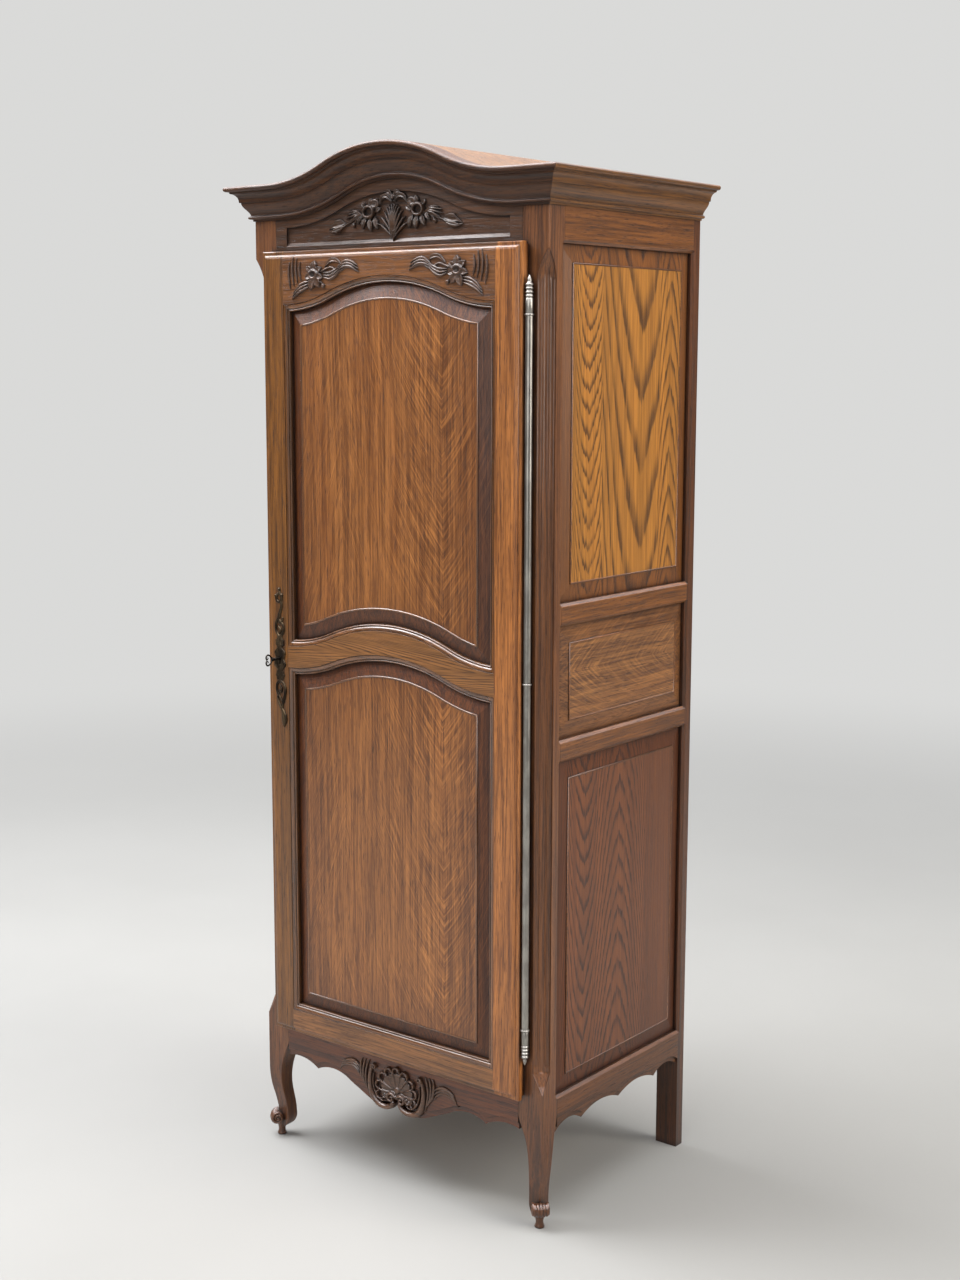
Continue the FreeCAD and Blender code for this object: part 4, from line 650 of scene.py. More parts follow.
def carve_apron():
    """Hollow shell between two C-scrolls that form the lobes of the apron, with sprays outside."""
    r = Relief((-166, 166), (138, 246), CARVING_STEP)
    # nine hollow lobes with raised rims round a dished middle
    r.fan((0, 178), 41, -28, 208, 9, 4, 0.5, 0.10, 0.85)
    for k in range(9):
        angle = math.radians(-18 + 216 * k / 8)
        dx, dz = math.cos(angle), math.sin(angle)
        mouth = (43 * dx, 180 + 41 * dz)
        rim = [polar(8.4, a, mouth) for a in np.linspace(angle - 2.1, angle + 2.1, 12)]
        r.stroke(rim, [1.2, 2.5, 2.9, 2.5, 1.2], [4, 6.8, 7.4, 6.8, 4], base=0.8)
        edge = angle + math.radians(13.5)
        if k < 8:
            r.stroke([(14 * math.cos(edge), 178 + 14 * math.sin(edge)),
                      (28 * math.cos(edge), 179 + 27 * math.sin(edge)),
                      (39 * math.cos(edge), 180 + 38 * math.sin(edge))],
                     [0.8, 1.6, 2.4], [2.4, 4.6, 6.8], base=0.6)
    for r.sign in (-1, 1):
        # volute beside the middle, and the scroll that runs on below it and up the side
        r.stroke(spiral((13, 167), 2, 10, 60, 1.25, 18), [2.6, 3.2, 3.8, 4.2],
                 [7.5, 8, 8], base=1.6, count=70)
        r.stroke([(8, 158), (14, 150), (28, 145), (44, 147), (57, 156), (65, 171), (68, 190),
                  (66, 208), (60, 220)],
                 [4.4, 5.6, 6.4, 6.8, 6.4, 5.6, 4.4, 3], [8, 8.5, 8.5, 8, 8, 7.5, 6.5, 5],
                 base=0.8, count=80)
        r.stroke([(24, 160), (36, 156), (48, 163), (56, 176), (59, 192), (58, 206)],
                 [0.8, 2, 2.4, 2, 1], [5, 6, 6, 5], base=0.8, count=50)
        r.stroke(spiral((57, 219), 6.2, 1.8, -30, 1.1, 12), [2.6, 2.2, 1.7], [7, 7, 6], base=1.2)
        r.stroke(spiral((30, 168), 6, 1.4, 150, 0.9, 10), [1.9, 1.6, 1.2], [5.5, 6, 5], base=1.2)
        # three grooved bands outside the scroll
        for k, out in enumerate((0, 6.6, 13)):
            r.stroke([(70 + out * 0.55, 160 + out * 1.3), (76 + out, 178 + out),
                      (79 + out, 198 + out * 0.7), (76 + out * 1.2, 216 + out * 0.4),
                      (70 + out * 1.4, 229)],
                     [0.8, 2.5, 3, 2.7, 0.6], [3.5, 5.6, 5.4, 4.6, 3], base=0.3, count=50)
        # leaf spray towards the post
        for k, lift in enumerate((0, 8, 16)):
            r.stroke([(92, 190 + lift), (104, 203 + lift * 0.8), (120, 208 + lift * 0.62),
                      (138, 203 + lift * 0.5), (150 - 4 * k, 190 + lift * 0.9)],
                     [0.8, 3, 3.4, 2.6, 0.5], [3.5, 4.6, 4, 1.8], base=0.3, count=46)
    r.dome((0, 183), 7.5, 5, 0.8, 0.2)
    r.dome((0, 171), 4.5, 7.5, 1)
    return r.build("carving_apron", FRONT, 4.4)


# ---------------------------------------------------------------- iron and bronze

KEY = (-272, 1005)


def escutcheon():
    """Long pierced plate of scrolls, rosettes and a leaf point."""
    cx, cz = KEY
    r = Relief((cx - 19, cx + 19), (866, 1145), 0.5, KEY)

    def band(pairs, width):
        r.stroke(pairs, width, [2.4, 2.4], count=60)

    band([(0, 127), (-5, 124), (-8, 117), (-4, 111), (3, 112), (6, 119), (2, 128), (0, 134)],
         [2.2, 2.8, 2.8, 2.2])
    for x, z in ((0, 135), (7, 124), (-9, 122)):
        r.dome((x, z), 3.2, 3)
    band([(4, 114), (6, 104), (2, 92), (-2, 80), (1, 70)], [2.2, 3, 3.4, 3])
    band([(1, 74), (9, 66), (10, 54), (3, 44)], [2.6, 2.6, 3])
    band([(0, 82), (-8, 72), (-10, 60), (-6, 48), (2, 42)], [2.4, 2.8, 3])
    band([(-2, 62), (3, 56), (0, 50)], [2, 2.4, 2])
    band([(9, 80), (7, 74), (3, 70)], [1.2, 2, 1.4])
    r.flower((0, 31), 12, 8, 22, 2, 0.6)
    r.stroke([(0, 40), (0, 22)], [4.5, 4.5], [2, 2], base=0.4)
    r.stroke([(0, 24), (0, 10), (0, -10), (0, -24)], [6, 10, 11, 10, 6], [2.2, 2.2], "hollow", 0.6)
    for sign in (-1, 1):
        band([(sign * 5, 20), (sign * 12, 12), (sign * 10, 4)], [1.6, 2.2, 2])
        band([(sign * 10, -4), (sign * 13, -12), (sign * 5, -22)], [2, 2.4, 1.6])
    r.flower((0, -33), 12, 8, 0, 2, 0.6)
    r.stroke([(0, -22), (0, -44)], [4.5, 4.5], [2, 2], base=0.4)
    band([(-2, -44), (-9, -52), (-9, -64), (-3, -74), (3, -84)], [2.6, 3, 3, 2.4])
    band([(2, -44), (9, -50), (13, -60), (11, -74), (6, -88), (3, -100)], [2.6, 3, 3.2, 3, 2.6])
    band([(0, -54), (4, -60), (1, -67), (-3, -63)], [1.8, 2.2, 1.6])
    band([(-8, -76), (-5, -86), (1, -98)], [1.4, 2.6, 2.6])
    r.stroke([(3, -98), (7, -106), (10, -116), (9, -134)], [2.6, 4.5, 6.5, 6, 0.6],
             [2.4, 3, 2.4], "leaf", 0.6)
    hole = np.hypot(r.x - cx, r.z - cz) < 4
    slot = (np.abs(r.x - cx) < 1.7) & (r.z < cz) & (r.z > cz - 12.2)
    r.height[hole | slot] = 0
    return r.build("escutcheon", DOOR_FRONT, 0.3)


def key_piece():
    """Key with an open bow of two curls, a collar and a bit."""
    cx, cz = KEY
    tip = DOOR_FRONT - 41
    bow = []
    for sign in (-1, 1):
        side = [(cx, tip + 19, cz), (cx, tip + 15, cz + sign * 5.5), (cx, tip + 9.5, cz + sign * 9.8),
                (cx, tip + 4.5, cz + sign * 9.6), (cx, tip + 2, cz + sign * 5.5),
                (cx, tip + 3.4, cz + sign * 1.2)]
        bow.append(tube(side, [1.6, 1.45, 1.5, 1.7, 1.6, 1.4], count=36))
        curl = [(cx, tip + 3.4, cz + sign * 1.2), (cx, tip + 6.6, cz + sign * 2.2),
                (cx, tip + 7.6, cz + sign * 4.6), (cx, tip + 6.2, cz + sign * 5.4)]
        bow.append(tube(curl, [1.3, 1.1, 0.9, 0.7], count=20))
    shank = [(2.2, 17), (3.4, 18), (3.9, 19.5), (3.4, 21), (2.5, 21.8), (2.4, 24), (3.3, 24.6),
             (3.3, 26.2), (2.5, 27), (2.6, 30), (2.8, 56), (2.8, 75.5)]
    bow.append(rings([[(cx + r * math.cos(t), tip + y, cz + r * math.sin(t)) for t in angles(24)]
                      for r, y in shank]))
    low_y, high_y = DOOR_FRONT + 25.5 + 3.3, DOOR_FRONT + 25.5 + 8.2
    bit = [(cx + a, b, cz + c) for a, b, c in (
        (-1.2, low_y, -11.6), (1.2, low_y, -11.6), (1.2, high_y, -11.6), (-1.2, high_y, -11.6),
        (-1.2, low_y, -1), (1.2, low_y, -1), (1.2, high_y, -1), (-1.2, high_y, -1))]
    bow.append((bit, [(0, 3, 2, 1), (4, 5, 6, 7), (0, 1, 5, 4), (1, 2, 6, 5), (2, 3, 7, 6),
                      (3, 0, 4, 7)]))
    return join("key_forged", bow, 40)


HINGE = (314.6, -222.75)


def hinge_box(node):
    """Lowest and highest level of a node in millimetres."""
    low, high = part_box(node)
    return low.z * 1000, high.z * 1000


def barrel_profile(level, up):
    """Profile of a fixed barrel from its joint to its point."""
    out = [(0.2, 0), (5.9, 0), (6.4, 0.6), (6.4, 25.2), (5.9, 26), (5, 26.3)]
    place = 26.6
    for _ in range(4):
        out += [(5.1, place), (5.9, place + 0.7), (6.6, place + 1.8), (6.7, place + 2.7),
                (6.6, place + 3.6), (5.9, place + 4.7), (5.1, place + 5.3)]
        place += 6.3
    out += [(4.4, place), (3.6, place + 1.2), (3.9, place + 3), (3.7, place + 5),
            (2.6, place + 8.2), (1.5, place + 11), (0.3, place + 12.8)]
    return [(r, level + up * z) for r, z in out]


def hinge_barrels():
    """The fixed barrels: the upper one upright, the lower one upside down."""
    low, high = hinge_box("hinge_barrels")
    reach = 26 + 2 * (1.2 + 11.6) + 13
    return join("hinge_barrels_turned",
                [lathe(barrel_profile(high - reach, 1), *HINGE),
                 lathe(barrel_profile(low + reach, -1)[::-1], *HINGE)], 50)


def hinge_tube(name, node, ring_levels):
    """Long tube of the hinge with a soft-edged ring near its ends."""
    low, high = hinge_box(node)
    out = [(4.2, low), (5.9, low), (6.4, low + 0.1)]
    for level in sorted(ring_levels(low, high)):
        out += [(6.4, level), (7.6, level + 0.1), (8.2, level + 0.9), (8.2, level + 2.3),
                (7.6, level + 3.1), (6.4, level + 3.2)]
    out += [(5.9, high), (4.2, high)]
    return join(name, [lathe(out, *HINGE)], 40)


# ---------------------------------------------------------------- posts and feet

LEG = (
    # level, side across, side along, inset of the outer corner
    (20, 16, 16, 12.4), (26, 22, 22, 12.6), (38, 26, 26, 12.5), (50, 26, 26, 12.2),
    (62, 26.2, 26.2, 11.5), (84, 27.3, 27.3, 8), (106, 29, 29, 3.6), (128, 31.2, 31.2, 0.9),
    (150, 34, 34, 0), (168, 38, 36.6, 0), (184, 43.8, 39.6, 0), (200, 51, 43.8, 0),
    (212, 55, 46, 0), (240, 55, 46, 0),
)
CHAMFER = 23
CHAMFER_ENDS = (262, 1767)
BAYS = ((247, 870.5), (910.5, 1115.5), (1155.5, 1776))
SQUARE = 212  # from here up the post has its full size
DIAGONAL = 0.7071
POCKET_SIDES = (-195.25, -199.75)
POCKET_DEPTH = 10
POCKET_LEVELS = (992.5, 1017.5)


def leg_values(z):
    """Both sides of the leg at a level, and the inset of its outer corner."""
    fine = smooth_line(LEG, 90)
    return [float(np.interp(z, fine[:, 0], fine[:, k])) for k in (1, 2, 3)]


def chamfer_size(z):
    """Width of the fluted chamfer, along each face, with its pointed ends."""
    low = min(max((z - CHAMFER_ENDS[0]) / 38, 0), 1)
    high = min(max((CHAMFER_ENDS[1] - z) / 52, 0), 1)
    return CHAMFER * min(low, 1 - (1 - high) ** 1.8)


def flute_depth(share, z):
    """Depth of the three flutes across the chamfer, with round ends."""
    depth = 0
    for middle, low, high in ((1 / 6, 310, 1720), (1 / 2, 300, 1736), (5 / 6, 310, 1720)):
        off = min(abs(share - middle) / 0.140, 1)
        end = min(max(min((z - low) / 7, (high - z) / 12), 0), 1)
        depth = max(depth, 2.1 * math.sqrt(1 - off * off) * math.sqrt(end * (2 - end)))
    return depth


def rear_edge(z):
    """Chamfer of the post's rear outer edge beside a panel."""
    for low, high in BAYS:
        if low - 5 < z < high + 5:
            return max(0, min(5, z - low + 5, high + 5 - z))
    return 0


def post_section(z, pocket, steps=34):
    """Outline of the post at a level, with the bolt's mortise where pocket isn't nought."""
    if z >= SQUARE:
        side_x, side_y, inset = 55, 46, 0
    else:
        side_x, side_y, inset = leg_values(z)
    right = HALF - inset
    near = FRONT + inset
    edge = max(chamfer_size(z), 0.6)
    inner = right - side_x
    rear, front = POCKET_SIDES if z > 250 else (near + 0.3 * side_y, near + 0.2 * side_y)
    line = [(inner, near + side_y), (inner, rear), (inner + pocket, rear), (inner + pocket, front),
            (inner, front), (inner, near + 0.8), (inner + 0.8, near)]
    for i in range(steps + 1):
        share = i / steps
        sunk = 2.3 * min(1, share / 0.06, (1 - share) / 0.06) * min(1, edge / 9)
        depth = (flute_depth(share, z) + sunk) * DIAGONAL
        if edge < 1:
            depth = -0.17 * math.sin(math.pi * share)
        line.append((right - edge + edge * share - depth, near + edge * share + depth))
    back = rear_edge(z)
    line += [(right, near + side_y - max(back, 0.5)), (right - max(back, 0.5), near + side_y)]
    return line


def post(sign, name):
    """Post and leg in one, with levels close together where the shape turns."""
    levels = [20, 23, 26, 30, 34, 38, 44, 50, 56, 62]
    levels += list(range(70, SQUARE, 7)) + [SQUARE, 225, 241.9, 242.1, 247, 252, 261, 262.5]
    levels += [263 + 2 * i for i in range(24)] + [311, 313, 316, 320, 330]
    for low, high in BAYS:
        levels += [low - 5.05, low - 4.95, low, high, high + 4.95, high + 5.05]
    levels += list(range(400, 1700, 100)) + [1700, 1706, 1710, 1713, 1716, 1719, 1722, 1726, 1729]
    levels += [1730 + 2 * i for i in range(19)] + [1766.6, 1767.5, 1800, 1893.5]
    low, high = POCKET_LEVELS
    levels += [low - 0.01, low, high, high + 0.01]
    sections = []
    for z in sorted(set(levels)):
        depth = POCKET_DEPTH if low <= z <= high and sign < 0 else 0
        ring = [(sign * x, y, z) for x, y in post_section(z, depth)]
        sections.append(ring if sign < 0 else ring[::-1])
    return join(name, [rings(sections)], 32)


def foot(sign, name):
    """Scroll under the ankle: lobes over a drum, spirals on its ends, and a waisted peg."""
    x0, y0, z0 = HALF - 10.5, FRONT + 10.5, 38

    def at(along, out, up):
        """Point from the drum's axis: along it, out to the corner, and up."""
        return (sign * (x0 + along * DIAGONAL + out * DIAGONAL),
                y0 + along * DIAGONAL - out * DIAGONAL, z0 + up)

    def hoop(along, radius, count):
        return [at(along, *polar(radius, t)) for t in angles(count)]

    parts = [rings([hoop(along, 11.2 if abs(along) < 13 else 9, 28)
                    for along in (-13.5, -12, 0, 12, 13.5)])]
    for along, radius, thick in ((-10.8, 11, 3.2), (-5.6, 11.8, 3.4), (0, 12.3, 3.7),
                                 (5.6, 11.8, 3.4), (10.8, 11, 3.2)):
        line = [at(along, *polar(radius - thick * 0.35 + 1.2 * math.sin(i / 10 * math.pi),
                                 math.radians(112 - 23.5 * i))) for i in range(11)]
        parts.append(tube(line, [1.2, 2.6, thick, thick, thick * 0.85, 1.4], count=40))
    for end in (-1, 1):
        coil = [at(end * (13.6 + 1.6 * share),
                   *polar(11.6 - 9 * share, math.radians(100 - 640 * share)))
                for share in (i / 25 for i in range(26))]
        parts.append(tube(coil, [2.6, 2.5, 2.2, 1.9, 1.7], count=100))
        parts.append(rings([hoop(end * 14.2 + 2.4 * math.cos(t), 2.6 * math.sin(t), 12)
                            for t in (math.pi * (i + 0.5) / 7 for i in range(7))]))
    peg = [(8.6, 0), (9.3, 0.8), (9.4, 3), (8.2, 5), (7.3, 8.5), (7.2, 13), (8.2, 18),
           (9, 24), (9, 34)]
    parts.append(lathe(peg, sign * (HALF - 16.5), FRONT + 16.5, 28))
    return join(name, parts, 60)


# ---------------------------------------------------------------- cornice

def cornice_section():
    """(out, down) from the top inner corner round to the foot of the moulding."""
    reach = 43
    line = [(0, 0), (reach - 4.6, 0)]
    line += [(reach - 4.6 + 4.6 * math.cos(a), 4.6 - 4.6 * math.sin(a))
             for a in np.linspace(math.pi / 2, -math.pi / 2, 11)]
    line += [(34.6, 9.4), (34.4, 9.9), (34.4, 11.8), (33.4, 12)]
    line += [(33.4 - 11.6 * math.sin(a) ** 1.1, 12.6 + 14.2 * (1 - math.cos(a)))
             for a in np.linspace(0, math.pi / 2, 12)]
    line += [(21.6, 27.4), (21.6, 28.8), (18.9, 29), (18.6, 29.6), (18.6, 31.6)]
    for share in np.linspace(0, 1, 14):
        out = 18.2 - 12.2 * share
        wave = 2.2 * math.sin(2 * math.pi * share)
        line.append((out + wave * 0.45, 32.6 + 18.6 * share - wave * 0.25))
    line += [(6, 52.4), (6.9, 53.2)]
    line += [(6.8 + 3 * math.cos(a), 56.4 - 3 * math.sin(a))
             for a in np.linspace(math.pi / 2, -math.pi / 2, 9)]
    line += [(3.4, 59.8), (3, 60.3), (3, 63), (0, 63)]
    return line


def arch_line(count=44):
    """(x, rise, slope) along the cornice's front, from left to right."""
    half, rise = 280, 61
    square = half * half + rise * rise
    radius = 0.5 * square / (2 * rise)
    out = []
    for x in np.linspace(-half, half, count):
        a = abs(x)
        if a > half / 2:
            off = half - a
            z = radius - math.sqrt(radius ** 2 - off ** 2)
            slope = -math.copysign(off / math.sqrt(radius ** 2 - off ** 2), x)
        else:
            z = rise - radius + math.sqrt(radius ** 2 - a ** 2)
            slope = -x / math.sqrt(radius ** 2 - a ** 2)
        out.append((x, z, slope))
    return out


def cornice_front():
    """The arched moulding, with its ends cut for the mitres."""
    section = cornice_section()
    level = [(x, 0, 0) for x in (-HALF, -320, -300)]
    line = level + arch_line() + [(-x, 0, 0) for x, _, _ in level[::-1]]
    sections = []
    for number, (x, z, slope) in enumerate(line):
        length = math.hypot(1, slope)
        nx, nz = -slope / length, 1 / length
        ring = []
        for out, down in section:
            px = x - nx * down
            if number in (0, len(line) - 1):
                px = math.copysign(HALF + out, x)
            ring.append((px, FRONT - out, TOP + z - nz * down))
        sections.append(ring)
    return join("cornice_front_moulding", [rings(sections)], 28)


def cornice_side(sign, name):
    """The level moulding, from its mitre to the back."""
    section = cornice_section()
    sections = []
    for y in (None, -150, 0, 150, BACK):
        ring = [(sign * (HALF + out), FRONT - out if y is None else y, TOP - down)
                for out, down in section]
        sections.append(ring if sign > 0 else ring[::-1])
    return join(name, [rings(sections)], 28)


# ---------------------------------------------------------------- panels

def field_line(node, axis, level):
    """Places round a panel's raised field, from the frame's own mesh."""
    across = 1 - axis
    found = {}
    for vertex in nodes[node].data.vertices:
        place = vertex.co * 1000
        if abs(place[axis] - level) < 0.05:
            found[(round(place[across], 2), round(place[2], 2))] = True
    places = np.array(sorted(found))
    middle = 0.5 * (places.min(0) + places.max(0))
    turn = np.arctan2(places[:, 1] - middle[1], places[:, 0] - middle[0])
    return places[np.argsort(turn)]


def mitres(line):
    """Places of a closed line, each with its mitred step to the left."""
    for i, place in enumerate(line):
        before, after = place - line[i - 1], line[(i + 1) % len(line)] - place
        before, after = before / np.linalg.norm(before), after / np.linalg.norm(after)
        side = np.array([-before[1] - after[1], before[0] + after[0]])
        side = side / max(np.linalg.norm(side), 1e-6)
        yield place, side / max(0.5, abs(side @ np.array([-after[1], after[0]])))


def shoulder(name, node, axis, level, radius=2):
    """Small rounded shoulder that runs round the field."""
    out = -1 if level < 0 else 1
    sections = []
    for place, side in mitres(field_line(node, axis, level)):
        ring = []
        for angle in angles(10):
            flat = place - side * radius * (math.cos(angle) - 0.55)
            depth = level + out * (radius * math.sin(angle) - radius * 0.35)
            ring.append((flat[0], depth, flat[1]) if axis == 1 else (depth, flat[0], flat[1]))
        sections.append(ring)
    return join(name, [rings(sections + sections[:1], capped=False)])


def ogee(half, level, rise, split, count=40):
    """Points of an arch of two S-curves, from left to right."""
    square = half * half + rise * rise
    end, crown = split * square / (2 * rise), (1 - split) * square / (2 * rise)
    out = []
    for x in np.linspace(-half, half, count):
        a = abs(x)
        if a > (1 - split) * half:
            out.append((x, level + end - math.sqrt(end ** 2 - (half - a) ** 2)))
        else:
            out.append((x, level + rise - crown + math.sqrt(crown ** 2 - a ** 2)))
    return out


def opening_mould(name, line):
    """Ovolo and fillet that run round an opening, as two (inset, depth) sections."""
    ovolo = [(0.9 + 7.6 * (1 - math.cos(a)), 4.9 - 4.1 * math.sin(a))
             for a in (math.pi / 2 * k / 7 for k in range(7, -1, -1))]
    ovolo = [(0.9, 5.2)] + [(9.4 - i, d) for i, d in ovolo[::-1]] + [(8.5, 5.4)]
    fillet = [(9.4, 5.9), (9.4, 4.6), (9.8, 4), (10.6, 3.7), (11.4, 4), (12, 4.8), (12.2, 5.9)]
    parts = []
    for section in (ovolo, fillet):
        sections = [[(place[0] + side[0] * inset, DOOR_FRONT + depth, place[1] + side[1] * inset)
                     for inset, depth in section] for place, side in mitres(np.array(line, float))]
        parts.append(rings(sections + sections[:1], capped=False))
    return join(name, parts, 40)


OPENING = 250.7
UPPER_LINE = (ogee(OPENING, 1031.5, 51.0, 0.44)
              + ogee(OPENING, 1679.0, 49.5, 0.44)[::-1])
LOWER_LINE = [(-OPENING, 298.0), (OPENING, 298.0)] + ogee(OPENING, 989.5, 48.0, 0.44)[::-1]


# ---------------------------------------------------------------- finishes of the frame

def paint(node, material):
    """Give all of a node's slots one material."""
    piece = nodes[node]
    if not piece.data.materials:
        piece.data.materials.append(material)
    for number in range(len(piece.data.materials)):
        piece.data.materials[number] = material


TOP_BOARDS = ((0.0, 0.264, 0.039, 0.75, 850, -1), (0.304, 0.432, 0.135, 2.0, 130, -1),
              (0.490, 0.526, 0.062, 2.2, 1500, 1))
LOW_BOARDS = ((0.0, 0.262, 0.047, 1.4, 700, -1), (0.298, 0.375, 0.050, 1.5, 330, 1))
RAIL_BOARDS = ((0.0, 1.03, 0.05, 8.0, 4000, 1),)
BACK_BOARDS = ((-1.0, 0.09, 0.17, 5.0, 110, 1), (0.19, 0.30, 0.21, 5.5, 90, -1),
               (0.40, 0.50, 0.16, 4.6, 140, 1))
SIDE_FIELD = ("x", 0.3394, 0.3285)
DOOR_FIELD = ("y", 0.2307, 0.2168)
WOOD = {
    # name: grain axis, dark, light, and what else differs
    "post": ("z", "4f2b10", "8a5428", {"crevice": 1.0}),
    "frieze": ("x", "2e1908", "57351a", {"coat": 0.3}),
    # The front moulding's wood is deeper brown than the side moulding's: painted shade of its downward
    # faces.
    "cornice": ("x", "2f1604", "58310d", {"coat": 0.14, "rough": 0.50, "tinting": 0.3}),
    "cornice_side": ("y", "482a0c", "86551e", {"tinting": 0.4}),
    "apron": ("x", "462009", "7e4217", {}),
    "stile": ("z", "512f0a", "88551c", {}),
    "stile_right": ("z", "6e3d15", "c37b3a", {}),
    "rail": ("x", "4f2e12", "89562a", {}),
    "rail_middle": ("x", "4a2d13", "a26c38", {"boards": RAIL_BOARDS}),
    # A lighter copy of the rail's wood: painted highlight of the bottom rail's mouldings.
    "rail_bottom_lit": ("x", "5c3717", "a06a38", {}),
    "door_panel_upper": ("z", "673912", "bd7a3c", {"feather": (-0.341, 0.241), "field": DOOR_FIELD,
                                                   "edge_stain_and_shade": (0.212, 1.06, 1.72)}),
    "door_panel_lower": ("z", "673912", "bd7a3c", {"feather": (-0.341, 0.241), "field": DOOR_FIELD,
                                                   "edge_stain_and_shade": (0.212, 0.33, 1.02)}),
    "side_top": ("z", "57340c", "cc8731", {"boards": TOP_BOARDS, "field": SIDE_FIELD}),
    "side_middle": ("y", "5d381b", "ad753f", {"feather": (0.93, 0.10), "field": SIDE_FIELD,
                                              "bevel_stain_and_shade": 0.4}),
    "side_bottom": ("z", "381a0a", "824a22", {"boards": LOW_BOARDS, "field": SIDE_FIELD,
                                              "bevel_stain_and_shade": 0.4, "coat": 0.25}),
    "side_rail": ("y", "4e2b0b", "8a531f", {}),
    "side_rail_low": ("y", "43250b", "79481d", {"coat": 0.3}),
    "rear": ("z", "3b1f07", "6a3912", {}),
    "inside": ("x", "745231", "ab8452", {"rough": 0.55, "coat": 0.0}),
    "inside_y": ("y", "745231", "ab8452", {"rough": 0.55, "coat": 0.0}),
    "back": ("z", "6f4f31", "a38050", {"rough": 0.6, "coat": 0.0, "boards": BACK_BOARDS}),
    "roof": ("x", "563a22", "8a633c", {"rough": 0.5, "coat": 0.1}),
}


def wood(kind, seed, **changes):
    along, dark, light, more = WOOD[kind]
    settings = {**more, **changes}
    return oak("oak_%s_%d" % (kind, seed), along, dark, light, seed, **settings)


FINISHES = {
    "frieze_rail": ("frieze", 3),
    "apron_rail": ("apron", 4),
    "door_hinge_stile": ("stile_right", 5),
    "door_lock_stile": ("stile", 6),
    "door_top_rail": ("rail", 7),
    "door_middle_rail": ("rail_middle", 8),
    "door_bottom_rail": ("rail_bottom_lit", 9),
    "door_upper_panel": ("door_panel_upper", 10),
    "door_lower_panel": ("door_panel_lower", 11),
    "rear_stile_left": ("rear", 12),
    "rear_stile_right": ("rear", 13),
    "roof_panel": ("roof", 14),
    "back_upper_panel": ("back", 17),
    "back_lower_panel": ("back", 18),
}
for seed, node in ((15, "floor_board"), (16, "ceiling_board"), (19, "back_top_rail"),
                   (20, "back_middle_rail"), (21, "back_bottom_rail"), (22, "shelf_lower"),
                   (23, "shelf_middle"), (24, "shelf_upper")):
    FINISHES[node] = ("inside", seed)
for number, side in enumerate(("left", "right")):
    for place, name in enumerate(("top", "upper", "lower", "bottom")):
        kind = "side_rail_low" if name == "bottom" else "side_rail"
        FINISHES["side_%s_rail_%s" % (name, side)] = (kind, 30 + 4 * number + place)
    for place, name in enumerate(("top", "middle", "bottom")):
        FINISHES["side_%s_panel_%s" % (name, side)] = ("side_" + name, 40 + 3 * number + place)
    for place, name in enumerate(("lower", "middle", "upper")):
        FINISHES["shelf_cleat_%s_%s" % (name, side)] = ("inside_y", 50)

woods = {}
for node, finish in FINISHES.items():
    if finish not in woods:
        woods[finish] = wood(*finish)
    paint(node, woods[finish])

hinge_steel = metal("hinge_steel", "94908a", "aeaaa3", 0.34, 1, (700, 700, 14), 0.92, 0.55)
iron = metal("key_iron", "1f1c19", "3c3833", 0.42, 2, (300, 300, 300))
bronze = metal("escutcheon_bronze", "2a2119", "5a4a36", 0.42, 3, (300, 300, 300), 0.85)
lock_steel = metal("lock_steel", "5b5a57", "8d8b86", 0.38, 4)
for node in ("lock_case", "lock_curtain", "lock_bolt", "lock_keeper", "hinge_pin"):
    paint(node, lock_steel)


# ---------------------------------------------------------------- the new pieces

for sign, side in ((-1, "left"), (1, "right")):
    post_wood = wood("post", 60 + sign)
    dress(post(sign, "post_" + side), "carcass", "carcass_oak", post_wood, "front_post_" + side)
    foot_wood = wood("post", 63 + sign, crevice=0.8, rough=0.30)
    dress(foot(sign, "foot_scroll_" + side), "carcass", "carcass_oak", foot_wood)
    dress(cornice_side(sign, "cornice_%s_moulding" % side), "carcass", "carcass_oak",
          wood("cornice_side", 66 + sign), "cornice_" + side)
dress(cornice_front(), "carcass", "carcass_oak", wood("cornice", 70), "cornice_front")

carved = {"crevice": 1.0, "rough": 0.34, "coat": 0.42}
dress(carve_frieze(), "carcass", "carcass_oak",
      oak("oak_carved_frieze", "x", "331f11", "573a24", 71, **carved))
spandrel_wood = oak("oak_carved_spandrel", "x", "402715", "69462d", 72, **carved)
dress(carve_spandrel(-1, "carving_door_left"), "door", "door_frame_oak", spandrel_wood)
dress(carve_spandrel(1, "carving_door_right"), "door", "door_frame_oak", spandrel_wood)
dress(carve_apron(), "carcass", "carcass_oak",
      oak("oak_carved_apron", "x", "4d3222", "80583a", 73, **{**carved, "crevice": 0.85}))

# metres from the middle to a moulding's upright part, and from a field's side to that of its edge
mould_turn, field_turn = 0.2382, 0.006
for number, (place, line) in enumerate((("upper", UPPER_LINE), ("lower", LOWER_LINE))):
    made = opening_mould("door_%s_moulding" % place, line)
    dress(made, "door", "door_frame_oak",
          wood("rail", 74 + 2 * number, coat=1.0, rough=0.28, upright=mould_turn))
    made = shoulder("door_%s_field_edge" % place, "door_%s_panel" % place, 1, DOOR_FIELD_FACE)
    half = max(abs(vertex.co.x) for vertex in made.data.vertices)
    dress(made, "door", "door_panel_oak",
          wood("rail", 80 + number, coat=1.0, rough=0.28, upright=half - field_turn))
for sign, side in ((-1, "left"), (1, "right")):
    for place in ("top", "middle", "bottom"):
        node = "side_%s_panel_%s" % (place, side)
        made = shoulder("side_%s_%s_field_edge" % (place, side), node, 0, sign * SIDE_FIELD_FACE, 1.5)
        dress(made, "carcass", "side_panel_oak", wood("side_rail", 75))

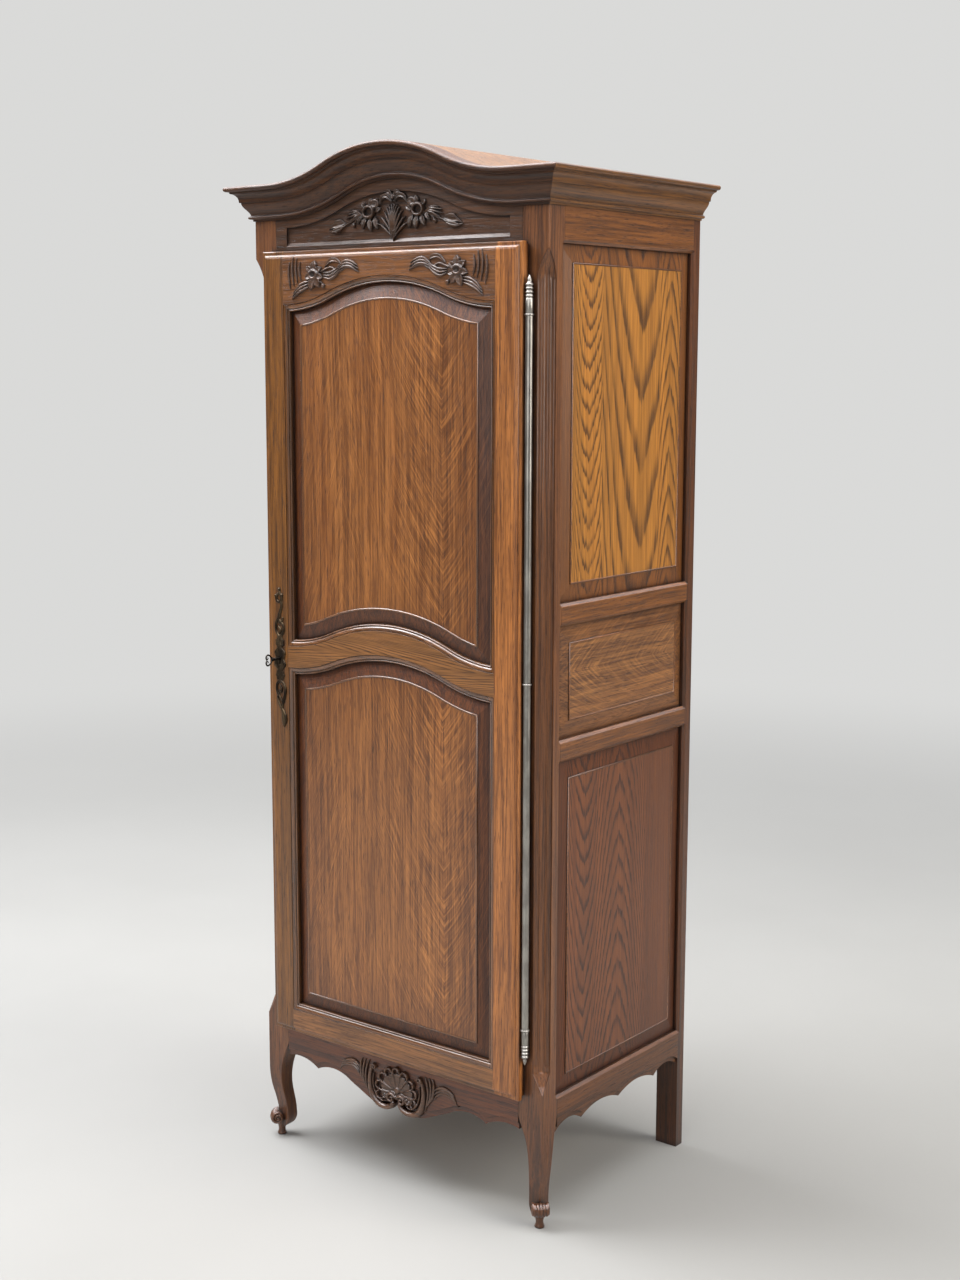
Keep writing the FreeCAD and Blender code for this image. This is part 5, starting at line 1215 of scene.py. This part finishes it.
dress(escutcheon(), "door", "escutcheon_bronze", bronze, "escutcheon_plate")
dress(key_piece(), "key", "key_iron", iron, "key")
dress(hinge_barrels(), "carcass", "hinge_steel", hinge_steel, "hinge_barrels")
dress(hinge_tube("hinge_upper_tube", "hinge_upper_sleeve", lambda low, high: [high - 3.2]),
      "door", "hinge_steel", hinge_steel, "hinge_upper_sleeve")
dress(hinge_tube("hinge_lower_tube", "hinge_lower_sleeve", lambda low, high: [low, high - 3.2]),
      "door", "hinge_steel", hinge_steel, "hinge_lower_sleeve")


# ---------------------------------------------------------------- studio

BACKDROP = (0.70, 0.70, 0.69, 1.0)
LAMPS = (
    # name, place, target, size, watts, colour
    ("sky", (-2.3, -0.9, 4.4), (0.0, -0.1, 1.0), (3.2, 3.2), 330, (0.97, 0.98, 1.0)),
    ("top", (0.9, 0.1, 5.2), (0.1, 0.0, 1.0), (3.0, 3.0), 120, (0.97, 0.98, 1.0)),
    ("front", (1.2, -5.2, 2.4), (0.0, -0.1, 0.9), (3.4, 3.0), 85, (1.0, 0.98, 0.95)),
    ("warm", (3.9, 0.9, 2.4), (0.2, 0.0, 1.1), (2.4, 2.8), 105, (1.0, 0.96, 0.89)),
)
VIEW = (37.98, 8.96, 0.11)  # the camera's yaw, pitch and roll in degrees
FOCAL_LENGTH = 1805.7 / 1280.0  # as a share of the picture's height


def pale_floor():
    """Floor that keeps the shadow and fades into the backdrop where the camera sees it far off."""
    data = bpy.data.meshes.new("studio_floor")
    data.from_pydata([(-14, -14, 0), (14, -14, 0), (14, 14, 0), (-14, 14, 0)], [], [(0, 1, 2, 3)])
    make = Shader("studio_floor")
    cloud = make.noise(make.place(), (1.3, 1.3, 1.3), detail=3.0)
    make.finish({"Base Color": make.mix(cloud, shade("aeadaa"), shade("b8b7b4")),
                 "Roughness": 0.85, "Specular IOR Level": 0.0})
    away = make.node("VectorMath", {0: make.place()}, "Value", operation="LENGTH")
    far = make.band(away, 1.2, 5.5) * make.node("LightPath", output="Is Camera Ray")
    glow = make.node("Emission", {"Color": BACKDROP, "Strength": 1.0})
    make.end(make.node("MixShader", {0: far, 1: make.surface, 2: glow}))
    data.materials.append(make.material)
    add("studio_floor", data)


def studio_world():
    """Even light, the backdrop for the camera, and a sky that only upward reflections meet."""
    world = bpy.data.worlds.new("studio")
    bpy.context.scene.world = world
    world.use_nodes = True
    make = Nodes(world.node_tree, "ShaderNodeOutputWorld")
    sky = make.node("Background", {"Color": (0.93, 0.96, 1.0, 1.0), "Strength": 0.26})
    seen = make.node("Background", {"Color": BACKDROP, "Strength": 1.0})
    up = make.split(make.node("TexCoord", output="Generated"))[2]
    shine = make.node("Background", {"Color": (0.96, 0.95, 1.0, 1.0),
                                     "Strength": make.band(up, 0.36, 0.80, 0.10, 5.2)})
    for ray, other in (("Is Glossy Ray", shine), ("Is Camera Ray", seen)):
        sky = make.node("MixShader", {0: make.node("LightPath", output=ray), 1: sky, 2: other})
    make.end(sky)


def studio():
    """Pale floor, soft light from the sky's side, and the camera of the picture."""
    pale_floor()
    studio_world()
    for name, place, target, size, watts, colour in LAMPS:
        data = bpy.data.lights.new(name, "AREA")
        data.shape = "RECTANGLE"
        data.size, data.size_y = size
        data.energy = watts
        data.color = colour
        add(name, data, place, (Vector(target) - Vector(place)).to_track_quat("-Z", "Y"))

    yaw, pitch, roll = (math.radians(a) for a in VIEW)
    ahead = Vector((-math.sin(yaw) * math.cos(pitch), math.cos(yaw) * math.cos(pitch),
                    -math.sin(pitch)))
    right = Vector((math.cos(yaw), math.sin(yaw), 0))
    up = right.cross(ahead)
    right, up = (math.cos(roll) * right + math.sin(roll) * up,
                 math.cos(roll) * up - math.sin(roll) * right)
    data = bpy.data.cameras.new("camera")
    data.sensor_fit = "AUTO"
    data.sensor_width = 36.0
    data.lens = FOCAL_LENGTH * data.sensor_width
    data.clip_end = 60.0
    turn = Matrix((right, up, -ahead)).transposed().to_quaternion()
    scene = bpy.context.scene
    scene.camera = add("camera", data, (2.1603, -2.5114 + FRONT * 0.001, 1.5864), turn)
    scene.view_settings.view_transform = "Standard"


studio()
bpy.context.view_layer.update()
